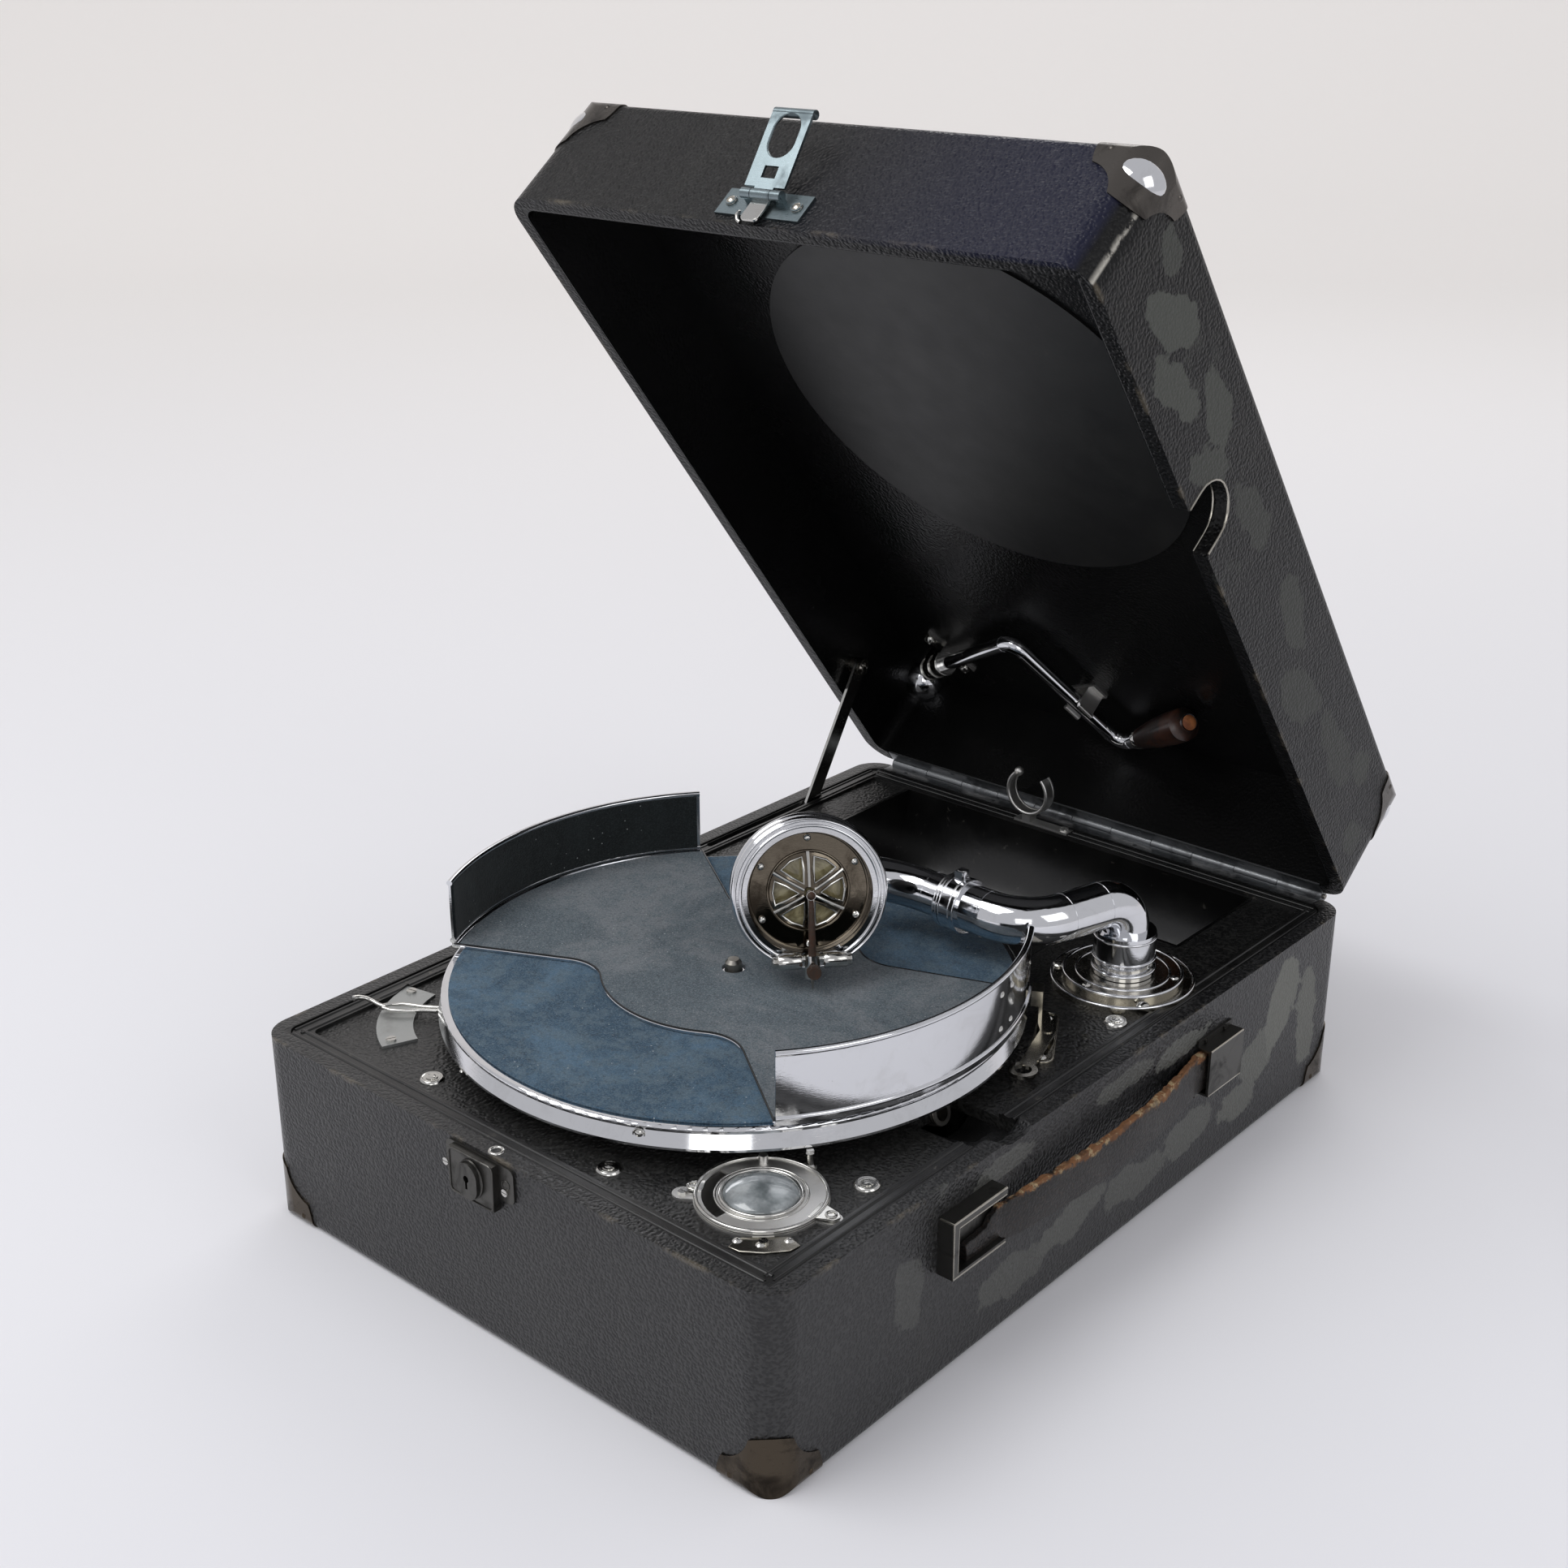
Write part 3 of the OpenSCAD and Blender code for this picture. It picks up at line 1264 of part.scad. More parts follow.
module record_tray() {
    color([0.72, 0.72, 0.71]) translate([tt_x, tt_y, tray_z]) {
        linear_extrude(tray_t) difference() {
            tray2d();
            circle(spindle_r + 0.4);
        }
        for (w = [[rim_az(wing_right[0]), rim_az(wing_right[1])],
            [rim_az(wing_left[1]), rim_az(wing_left[0])]])
            rotate([0, 0, w[0]]) rotate_extrude(angle = w[1] - w[0], $fn = 96) {
                translate([tray_r - tray_wall_t, 0]) square([tray_wall_t, tray_wall_h]);
                translate([tray_r - tray_wall_t / 2, 3]) circle(1.3, $fn = 24);
                translate([tray_r - tray_wall_t / 2, tray_wall_h - 1.3]) circle(1.3, $fn = 24);
            }
    }
}

module tray_felt() {
    color([0.37, 0.38, 0.41]) translate([tt_x, tt_y, tray_z + tray_t]) linear_extrude(tray_felt_t)
        difference() {
            tray2d();
            circle(spindle_r + 1.5);
            difference() {
                circle(tray_r + 2, $fn = 96);
                circle(tray_r - tray_wall_t - 2.5, $fn = 96);
            }
        }
}

module lid_case() {
    color([0.05, 0.05, 0.055]) lid_pose() difference() {
        case_block(case_w, case_d, lid_z0, lid_z1, corner_r, edge_r, true);
        translate([0, 0, lid_z0 - 1]) linear_extrude(lid_in_z - lid_z0 + 1)
            rounded(lid_in_w, lid_in_d, corner_r - lid_wall_t);
        translate([-hinge_len / 2 - gap, case_d / 2 - leaf_w - gap, lid_z0 - 1])
            cube([hinge_len + 2 * gap, leaf_w + 1 + gap, leaf_t + 1]);
        // notch for the winding handle
        translate([lid_in_w / 2 - 3, notch_y, lid_z0 + lid_notch_h - notch_w / 2]) rotate([0, 90, 0])
            cylinder(r = notch_w / 2, h = 20);
        translate([lid_in_w / 2 - 3, notch_y - notch_w / 2, lid_z0 - 1])
            cube([20, notch_w, lid_notch_h - notch_w / 2 + 1]);
    }
}

module lid_corner_caps() {
    color([0.55, 0.53, 0.48]) lid_pose() difference() {
        intersection() {
            case_block(case_w + 2 * cap_t, case_d + 2 * cap_t, lid_z0, lid_z1 + cap_t, corner_r + cap_t,
                edge_r + cap_t, true);
            cap_zone(case_w, case_d, lid_z1, -1);
        }
        case_block(case_w, case_d, lid_z0 - 1, lid_z1, corner_r, edge_r, true);
    }
}

module lid_disc() {
    color([0.07, 0.07, 0.07]) lid_pose() translate([3, hinge_y - disc_reach, lid_in_z - 1])
        cylinder(r = disc_r, h = 1, $fn = 96);
}

module hasp_base() {
    color([0.5, 0.48, 0.42]) lid_pose() difference() {
        union() {
            translate([lock_x - 21, front_y - 1, hasp_z - 8]) cube([42, 1, 13]);
            for (s = [-1, 1]) translate([lock_x + s * (hasp_w / 2 - 2.6) - 2.4, 0, 0]) {
                translate([0, hasp_y, hasp_z]) rotate([0, 90, 0]) cylinder(r = 2.2, h = 4.8);
                translate([0, hasp_y, hasp_z - 1]) cube([4.8, hasp_out, 2]);
            }
            for (s = [-1, 1]) translate([lock_x + s * 16.5, front_y - 0.8, hasp_z - 1.5])
                rotate([90, 0, 0]) screw_head(2.4, 1.2);
        }
        translate([lock_x - 20, hasp_y, hasp_z]) rotate([0, 90, 0]) cylinder(r = 1 + run, h = 40);
    }
}

module hasp() {
    inner_w = hasp_w - 10.6;
    reach = hasp_z - lock_z;
    color([0.6, 0.58, 0.52]) lid_pose() translate([lock_x, hasp_y, hasp_z]) rotate([-hasp_open, 0, 0]) {
        difference() {
            union() {
                translate([-inner_w / 2, 0, 0]) rotate([0, 90, 0]) cylinder(r = 2.2, h = inner_w);
                translate([-hasp_w / 2 - 0.2, 0, 0]) rotate([0, 90, 0]) cylinder(r = 1, h = hasp_w + 0.4);
                translate([-inner_w / 2, -hasp_t / 2, -4]) cube([inner_w, hasp_t, 4]);
                translate([-hasp_w / 2, -hasp_t / 2, -hasp_len]) cube([hasp_w, hasp_t, hasp_len - 3]);
                translate([-hasp_w / 2, -1.2, -hasp_len]) rotate([0, 90, 0]) cylinder(r = 1.8, h = hasp_w);
            }
            translate([0, 3, -reach]) rotate([90, 0, 0]) linear_extrude(6) slot([0, -2.5], [0, 2.5], 6.8);
            translate([-3.5, -3, -11.5]) cube([7, 6, 5]);
        }
    }
}

// Frame of the winding handle in the shut lid: +X along its threaded end
module crank_frame() {
    translate([crank_start[0], hinge_y - crank_start[1], crank_z]) rotate([0, 0, crank_az]) children();
}

module crank_arm_frame() {
    crank_frame() translate([crank_shaft_len, 0, 0]) rotate([0, 0, crank_turn1]) children();
}

module knob_frame() {
    crank_arm_frame() translate([crank_arm_len, 0, 0]) rotate([0, 0, -crank_turn2]) children();
}

module crank() {
    color([0.6, 0.58, 0.55]) lid_pose() {
        crank_frame() {
            rod(crank_shaft_len - crank_t1, crank_r);
            translate([crank_shaft_len - crank_t1, 0, 0]) {
                seam(crank_r);
                bend(crank_bend_r, crank_turn1, crank_r);
            }
        }
        crank_arm_frame() {
            translate([crank_t1, 0, 0]) {
                seam(crank_r);
                rod(crank_arm_len - crank_t1 - crank_t2, crank_r);
            }
            translate([crank_arm_len - crank_t2, 0, 0]) {
                seam(crank_r);
                mirror([0, 1, 0]) bend(crank_bend_r, crank_turn2, crank_r);
            }
        }
        knob_frame() {
            translate([crank_t2, 0, 0]) seam(crank_r);
            translate([crank_t2, 0, 0]) rod(crank_foot - crank_t2, crank_r);
            translate([crank_foot - 1, 0, 0]) rod(knob_len + 4, crank_r - 1.5);
            translate([crank_foot + knob_len + 1.2, 0, 0]) rod(1.8, crank_r + 0.4);
        }
    }
}

// Turned wooden grip, thickest past its middle
module crank_knob() {
    belly_r = 200;
    dome_r = 14;
    color([0.12, 0.08, 0.06]) lid_pose() knob_frame() translate([crank_foot + 0.6, 0, 0])
        rotate([0, 90, 0]) difference() {
        rotate_extrude() intersection() {
            translate([knob_r - belly_r, knob_len * 0.8]) circle(belly_r, $fn = 720);
            square([knob_r, knob_len]);
            union() {
                translate([0, -1]) square([knob_r + 1, knob_len - 5]);
                translate([0, knob_len - dome_r]) circle(dome_r, $fn = 96);
            }
        }
        translate([0, 0, -1]) cylinder(r = crank_r - 1.5 + run, h = knob_len + 2);
    }
}

module crank_bracket() {
    len = 18;
    foot_t = 1.4;
    color([0.6, 0.58, 0.52]) lid_pose() crank_frame() difference() {
        union() {
            translate([-2, 0, 0]) rod(len, crank_r + 2);
            translate([-2, -crank_r - 2, 0]) cube([len, 2 * crank_r + 4, lid_in_z - crank_z]);
            translate([5, -17, lid_in_z - crank_z - foot_t]) cube([8, 34, foot_t]);
            for (s = [-1, 1]) translate([9, s * 12.5, lid_in_z - crank_z - foot_t - 0.8])
                cylinder(r = 2.4, h = 1);
        }
        rod(len + 5, crank_r + run);
    }
}

module crank_clip() {
    at = crank_arm_len * 0.625;
    high = lid_in_z - crank_z;
    grip = crank_r + gap;
    color([0.6, 0.58, 0.52]) lid_pose() crank_arm_frame() translate([at, 0, 0]) {
        translate([-5, -9, high - 1.2]) cube([10, 34, 1.2]);
        for (s = [-1, 1]) {
            translate([-5, s > 0 ? grip : -grip - 0.9, -3.5]) cube([10, 0.9, high + 3.5]);
            translate([-5, s * (grip + 1.4), -3.5]) rotate([0, 90, 0]) cylinder(r = 1.1, h = 10);
        }
        translate([0, 20, high - 2]) cylinder(r = 2.4, h = 1);
    }
}

module stay_pivot() {
    color([0.6, 0.58, 0.52]) lid_pose() translate([-lid_in_w / 2, stay_top[0], stay_top[1]])
        rotate([0, 90, 0]) {
        wall_gap = lid_in_w / 2 + stay_x - stay_t / 2;
        cylinder(r = 4.5, h = wall_gap - gap);
        cylinder(r = stay_eye_r, h = wall_gap + stay_t + gap + 1.2);
        translate([0, 0, wall_gap + stay_t + gap]) cylinder(r = 4.5, h = 1.4);
    }
}

module stay_bar() {
    color([0.55, 0.54, 0.5]) translate([stay_x - stay_t / 2, stay_ty, stay_tz]) rotate([90, 0, 90])
        rotate([0, 0, atan2(stay_low_z - stay_tz, stay_ly - stay_ty)]) {
            difference() {
                linear_extrude(stay_t) slot([0, 0], [stay_len, 0], stay_w / 2);
                translate([0, 0, -1]) cylinder(r = stay_eye_r + run, h = stay_t + 2);
            }
            translate([stay_len, 0, -1.9]) cylinder(r = stay_pin_r, h = 2.5);
        }
}

module stay_guide() {
    y0 = 60;
    y1 = stay_ly + 12;
    guide_x = -in_w / 2;
    color([0.35, 0.34, 0.33]) translate([guide_x, 0, 0]) rotate([90, 0, 90]) linear_extrude(guide_t)
        difference() {
        translate([y0 - 8, guide_z0]) square([y1 - y0 + 8, deck_z0 - guide_z0 - gap]);
        slot([y0 + 4, stay_low_z - 1], [stay_ly + 3, stay_low_z - 1], guide_slot_h / 2);
    }
}

// Rear bracket: a flat plate bent over the strap; front bracket: a long thin loop, open on its outer side
module handle_brackets() {
    pad = 1.2;
    out = strap_t + 3.6;
    rear_y = strap_y + 78;
    rear_l = 28;
    front_l = 34;
    front_y0 = strap_y - 107;
    low_z = strap_z - 7.5;
    color([0.55, 0.53, 0.48]) {
        difference() {
            translate([right_x, rear_y, strap_z - strap_h / 2 - 4]) cube([out, rear_l, strap_h + 8]);
            translate([right_x + pad, rear_y - 1, strap_z - strap_h / 2 - 0.2])
                cube([strap_t + 1.2, rear_l + 2, strap_h + 0.4]);
            for (k = [-1, 1])
                translate([right_x + pad, rear_y - 1, strap_z + k * (strap_h / 2 + 3.7) - 2.5])
                    cube([10, rear_l + 2, 5]);
        }
        difference() {
            translate([right_x, front_y0, low_z]) cube([out, front_l, 25]);
            translate([right_x + pad, front_y0 + pad, low_z + pad])
                cube([strap_t + 1.2, front_l, 25 - 2 * pad]);
            translate([right_x + pad, front_y0 + 3.5, low_z + 1.8]) cube([out, front_l, 25 - 4.6]);
        }
        for (y = [rear_y + 6, rear_y + rear_l - 6])
            translate([right_x + pad - 0.2, y, strap_z + strap_h / 2 + 2.6]) rotate([0, 90, 0])
                screw_head(1.2, 0.8);
    }
}

// Leather strap, bowed out between its brackets
module handle_strap() {
    end_len = 22;
    span = strap_len - 2 * end_len;
    bow_r = (span * span / 4 + strap_bow * strap_bow) / (2 * strap_bow);
    x0 = right_x + 1.2;
    color([0.1, 0.07, 0.06]) translate([x0, strap_y, strap_z - strap_h / 2]) {
        translate([0, strap_len / 2 - end_len, 0]) cube([strap_t, end_len, strap_h]);
        // the front end is cut narrower, inside its bracket
        translate([0, -strap_len / 2, 4.2]) cube([strap_t, end_len, strap_h - 4.2]);
        intersection() {
            translate([strap_bow - bow_r, 0, 0]) ring_fine(bow_r + strap_t, bow_r, strap_h);
            translate([0, -span / 2, 0]) cube([strap_bow + strap_t + 1, span, strap_h]);
        }
    }
}

module ring_fine(r_out, r_in, h) {
    difference() {
        cylinder(r = r_out, h = h, $fn = 128);
        translate([0, 0, -1]) cylinder(r = r_in, h = h + 2, $fn = 128);
    }
}

base_case();
base_corner_caps();
deck_board();
deck_trim();
deck_screws();
small_screws();
horn_mouth();
horn_duct();
hinge_base_leaf();
hinge_pin();
lock_body();
motor_top_plate();
motor_lower_plate();
spindle_bearing();
winding_bearing();
regulator_plate();
brake_plate();
needle_cup();
arm_base();
arm_clip();
handle_brackets();
handle_strap();
stay_guide();
turntable();
turntable_felt();
spindle();
worm_wheel();
intermediate_gear();
spring_barrel();
mainspring();
governor_shaft();
governor_weights();
winding_shaft();
winding_arbor();
speed_lever();
brake_lever();
needle_cup_cover();
tone_arm();
gooseneck();
soundbox_back();
soundbox_ring();
soundbox_cover();
diaphragm();
stylus_bar();
needle();
needle_screw();
record_tray();
tray_felt();
lid_case();
lid_corner_caps();
lid_disc();
hinge_lid_leaf();
hasp_base();
hasp();
crank_bracket();
crank_clip();
stay_pivot();
crank();
crank_knob();
stay_bar();
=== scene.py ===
"""The looks of the portable gramophone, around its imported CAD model. Metres, in the part's own frame."""

import math
import random

import bmesh
import bpy
from mathutils import Matrix, Vector


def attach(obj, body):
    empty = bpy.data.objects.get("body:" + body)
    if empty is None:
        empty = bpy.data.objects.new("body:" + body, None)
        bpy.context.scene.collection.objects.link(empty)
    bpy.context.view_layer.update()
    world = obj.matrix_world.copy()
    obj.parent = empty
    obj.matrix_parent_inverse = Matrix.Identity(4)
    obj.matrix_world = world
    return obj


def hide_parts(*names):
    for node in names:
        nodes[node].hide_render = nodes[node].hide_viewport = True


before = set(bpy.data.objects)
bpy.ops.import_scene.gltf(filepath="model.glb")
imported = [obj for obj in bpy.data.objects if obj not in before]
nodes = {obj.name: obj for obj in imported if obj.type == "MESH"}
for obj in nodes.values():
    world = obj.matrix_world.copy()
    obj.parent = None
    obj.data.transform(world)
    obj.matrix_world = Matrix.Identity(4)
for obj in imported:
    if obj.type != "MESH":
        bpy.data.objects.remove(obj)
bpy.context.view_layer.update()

# sizes and places of the CAD model, in millimetres
MM = 0.001
CASE_W, CASE_D, LID_TOP = 290, 413, 145.5
HINGE = Vector((0, 210, 87.15))
LID_OPEN = 52
DECK_Z = 84.5


# ---------------------------------------------------------------- frames
def shift(x, y, z):
    return Matrix.Translation(Vector((x, y, z)))


def turn(axis, deg):
    return Matrix.Rotation(math.radians(deg), 4, axis)


def bend(lead, radius, deg):
    """The far end of a tube: a straight lead, then an arc that turns it by deg."""
    a = math.radians(abs(deg))
    side = math.copysign(radius * (1 - math.cos(a)), deg)
    return shift(lead + radius * math.sin(a), side, 0) @ turn("Z", deg)


def on_circle(r, deg):
    return r * math.cos(math.radians(deg)), r * math.sin(math.radians(deg))


# the open lid's frame takes a point of the shut lid to its place
LID = shift(*HINGE) @ turn("X", -LID_OPEN) @ shift(*(-HINGE))
PLATTER = shift(-8, -58, 0)
ARM_BASE = shift(103, 76.5, DECK_Z)
ARM_START = shift(103, 76.5, 126) @ turn("Z", -106) @ shift(16, 0, 0)
ARM_END = ARM_START @ bend(20.5, 26, -76)
GOOSE = ARM_END @ shift(19, 0, 0) @ turn("X", 16.5)
SOUND = GOOSE @ bend(11.8, 34.8, 139) @ turn("Y", 90) @ turn("Z", 12.8)
CRANK = LID @ shift(-112.5, 168.2, 128.5) @ turn("Z", -34.2)
CRANK_ARM = CRANK @ shift(88, 0, 0) @ turn("Z", 96.5)
KNOB = CRANK_ARM @ shift(85, 0, 0) @ turn("Z", -100.3)
HASP = LID @ shift(-6, -211, 99) @ turn("X", -160.5)
WINDING = shift(48, -62, 62) @ turn("Y", 71.5)


# ---------------------------------------------------------------- camera and lamps
SENSOR = 36
PHOTO_PX = 1932
FOCAL_PX = 2608.57
CAMERA_YAW, CAMERA_PITCH = 41.121, -22.409
CAMERA_AT = Vector((0.54071, -0.65364, 0.52499))


def camera():
    yaw, pitch = math.radians(CAMERA_YAW), math.radians(CAMERA_PITCH)
    forward = Vector((-math.sin(yaw) * math.cos(pitch), math.cos(yaw) * math.cos(pitch), math.sin(pitch)))
    right = Vector((math.cos(yaw), math.sin(yaw), 0))
    up = right.cross(forward)
    data = bpy.data.cameras.new("camera")
    data.sensor_width = SENSOR
    data.sensor_fit = "HORIZONTAL"
    data.lens = SENSOR * FOCAL_PX / PHOTO_PX
    data.clip_start = 0.05
    data.clip_end = 60
    cam = bpy.data.objects.new("camera", data)
    bpy.context.scene.collection.objects.link(cam)
    rot = Matrix((right, up, -forward)).transposed().to_4x4()
    cam.matrix_world = Matrix.Translation(CAMERA_AT) @ rot
    bpy.context.scene.camera = cam


def area_light(name, place, height, size, power):
    """A lamp aimed at a point above the origin."""
    data = bpy.data.lights.new(name, "AREA")
    data.shape = "RECTANGLE"
    data.size, data.size_y = size
    data.energy = power
    lamp = bpy.data.objects.new(name, data)
    bpy.context.scene.collection.objects.link(lamp)
    place = Vector(place)
    facing = (place - Vector((0, 0, height))).to_track_quat("Z", "Y")
    lamp.matrix_world = Matrix.Translation(place) @ facing.to_matrix().to_4x4()


# ---------------------------------------------------------------- materials
class Mat:
    """A node material: each call adds one node and gives its output back."""

    def __init__(self, name, **values):
        self.m = bpy.data.materials.new(name)
        self.m.use_nodes = True
        self.t = self.m.node_tree
        self.b = self.t.nodes["Principled BSDF"]
        for key, value in values.items():
            self.b.inputs[key.replace("_", " ")].default_value = value
        self.coord = self.t.nodes.new("ShaderNodeTexCoord").outputs["Object"]

    def put(self, socket, value):
        if isinstance(value, bpy.types.NodeSocket):
            self.t.links.new(value, socket)
        elif value is not None:
            socket.default_value = value

    def to(self, name, value):
        self.put(self.b.inputs[name], value)

    def math(self, op, a, b=None):
        n = self.t.nodes.new("ShaderNodeMath")
        n.operation = op
        self.put(n.inputs[0], a)
        self.put(n.inputs[1], b)
        return n.outputs[0]

    def vec(self, op, a, b=None):
        n = self.t.nodes.new("ShaderNodeVectorMath")
        n.operation = op
        self.put(n.inputs[0], a)
        self.put(n.inputs[1], b)
        return n.outputs["Value"] if op == "LENGTH" else n.outputs[0]

    def mapping(self, vector, loc=(0, 0, 0), rot=(0, 0, 0), scale=(1, 1, 1)):
        n = self.t.nodes.new("ShaderNodeMapping")
        self.put(n.inputs["Vector"], vector)
        n.inputs["Location"].default_value = loc
        n.inputs["Rotation"].default_value = [math.radians(v) for v in rot]
        n.inputs["Scale"].default_value = scale
        return n.outputs[0]

    def split(self, vector):
        n = self.t.nodes.new("ShaderNodeSeparateXYZ")
        self.put(n.inputs[0], vector)
        return n.outputs[0], n.outputs[1], n.outputs[2]

    def noise(self, scale, detail=3.0, rough=0.5, vector=None, distort=0.0):
        n = self.t.nodes.new("ShaderNodeTexNoise")
        self.put(n.inputs["Vector"], vector or self.coord)
        n.inputs["Scale"].default_value = scale
        n.inputs["Detail"].default_value = detail
        n.inputs["Roughness"].default_value = rough
        n.inputs["Distortion"].default_value = distort
        return n.outputs[0]

    def noise_colour(self, scale):
        """Three noises at once, as a vector."""
        n = self.t.nodes.new("ShaderNodeTexNoise")
        self.put(n.inputs["Vector"], self.coord)
        n.inputs["Scale"].default_value = scale
        n.inputs["Detail"].default_value = 2
        return n.outputs[1]

    def cells(self, scale, vector=None, feature="F1"):
        n = self.t.nodes.new("ShaderNodeTexVoronoi")
        n.feature = feature
        self.put(n.inputs["Vector"], vector or self.coord)
        n.inputs["Scale"].default_value = scale
        return n.outputs["Distance"]

    def ramp(self, value, low, high, a=0.0, b=1.0):
        n = self.t.nodes.new("ShaderNodeMapRange")
        n.interpolation_type = "SMOOTHSTEP"
        self.put(n.inputs["Value"], value)
        n.inputs["From Min"].default_value = low
        n.inputs["From Max"].default_value = high
        n.inputs["To Min"].default_value = a
        n.inputs["To Max"].default_value = b
        return n.outputs[0]

    def mix(self, fac, a, b):
        n = self.t.nodes.new("ShaderNodeMix")
        n.data_type = "RGBA"
        self.put(n.inputs[0], fac)
        for socket, value in ((n.inputs[6], a), (n.inputs[7], b)):
            if isinstance(value, tuple):
                value = value + (1.0,) if len(value) == 3 else value
            self.put(socket, value)
        return n.outputs[2]

    def blend(self, fac, a, b):
        n = self.t.nodes.new("ShaderNodeMix")
        n.data_type = "FLOAT"
        self.put(n.inputs[0], fac)
        self.put(n.inputs[2], a)
        self.put(n.inputs[3], b)
        return n.outputs[0]

    def bump(self, height, strength, distance):
        n = self.t.nodes.new("ShaderNodeBump")
        self.put(n.inputs["Height"], height)
        n.inputs["Strength"].default_value = strength
        n.inputs["Distance"].default_value = distance
        return n.outputs[0]

    def add(self, *values):
        out = values[0]
        for value in values[1:]:
            out = self.math("ADD", out, value)
        return out

    def mul(self, a, b):
        return self.math("MULTIPLY", a, b)

    def sub(self, a, b):
        return self.math("SUBTRACT", a, b)

    def most(self, a, b):
        return self.math("MAXIMUM", a, b)

    def least(self, a, b):
        return self.math("MINIMUM", a, b)


def grey(v):
    """Linear value of an sRGB byte."""
    v = v / 255
    return v / 12.92 if v <= 0.04045 else ((v + 0.055) / 1.055) ** 2.4


def rgb(r, g, b):
    return (grey(r), grey(g), grey(b))


def shut_coord(m):
    """Coordinates of the lid as if it were shut."""
    a = math.radians(LID_OPEN)
    c, s = math.cos(a), math.sin(a)
    hy, hz = HINGE.y * MM, HINGE.z * MM
    return m.mapping(m.coord, loc=(0, hy - (c * hy - s * hz), hz - (s * hy + c * hz)), rot=(LID_OPEN, 0, 0))


def box_sides(m, pos, w, d, z0, z1):
    """Distances in metres from a box's sides across and along, how near its edges are, and the place."""
    x, y, z = m.split(pos)
    dx = m.sub(w / 2 * MM, m.math("ABSOLUTE", x))
    dy = m.sub(d / 2 * MM, m.math("ABSOLUTE", y))
    dz = m.least(m.sub(z, z0 * MM), m.sub(z1 * MM, z))
    near = m.most(m.least(dx, dy), m.least(m.most(dx, dy), dz))
    return dx, dy, near, x, y, z


def patches(m, a, b, spots, wobble):
    """Soft-edged worn patches: each spot is (a, b, half length, half height, turn in degrees, strength)."""
    out = None
    for ca, cb, la, lb, deg, power in spots:
        c, s = math.cos(math.radians(deg)), math.sin(math.radians(deg))
        da = m.sub(a, ca * MM)
        db = m.sub(b, cb * MM)
        u = m.mul(m.add(m.mul(da, c), m.mul(db, s)), 1 / (la * MM))
        v = m.mul(m.add(m.mul(db, c), m.mul(da, -s)), 1 / (lb * MM))
        r = m.math("SQRT", m.add(m.mul(u, u), m.mul(v, v)))
        one = m.ramp(m.add(r, wobble), 1.03, 0.93, 0.0, power)
        out = one if out is None else m.most(out, one)
    return out


def cloth(m, fine=1.0):
    """Pebbled leathercloth grain as a height."""
    warp = m.vec("ADD", m.coord, m.vec("MULTIPLY", m.noise_colour(260), (0.0011, 0.0011, 0.0011)))
    pebble = m.cells(760 * fine, warp, "SMOOTH_F1")
    crease = m.noise(430 * fine, 4, 0.62)
    return m.add(m.mul(m.ramp(pebble, 0.0, 0.75), 0.75), m.mul(crease, 0.55))


# worn patches on the right side of the base and of the lid: y, z, half sizes, turn, strength
BASE_SPOTS = [
    (150, 62, 13, 22, -12, 0.95), (176, 40, 10, 26, 8, 0.8), (128, 40, 14, 12, 20, 0.7),
    (112, 22, 16, 10, 5, 0.65), (70, 26, 20, 10, 0, 0.5), (30, 22, 26, 9, -4, 0.4),
    (-20, 28, 24, 9, 6, 0.45), (-60, 22, 22, 10, 0, 0.35), (60, 74, 18, 6, 4, 0.55),
    (10, 77, 22, 5, -3, 0.4), (-70, 78, 18, 5, 0, 0.35), (-130, 50, 8, 18, 10, 0.25),
]
LID_SPOTS = [
    (-150, 118, 20, 9, 30, 0.85), (-128, 104, 22, 8, 20, 0.8), (-100, 122, 18, 8, -15, 0.75),
    (-82, 106, 14, 9, 25, 0.6), (-172, 128, 10, 7, 0, 0.6), (-40, 120, 20, 9, 12, 0.45),
    (20, 122, 26, 8, -8, 0.5), (66, 108, 20, 10, 18, 0.45), (120, 116, 24, 9, 4, 0.4),
    (150, 128, 12, 8, 0, 0.5), (176, 104, 10, 8, 0, 0.45),
]


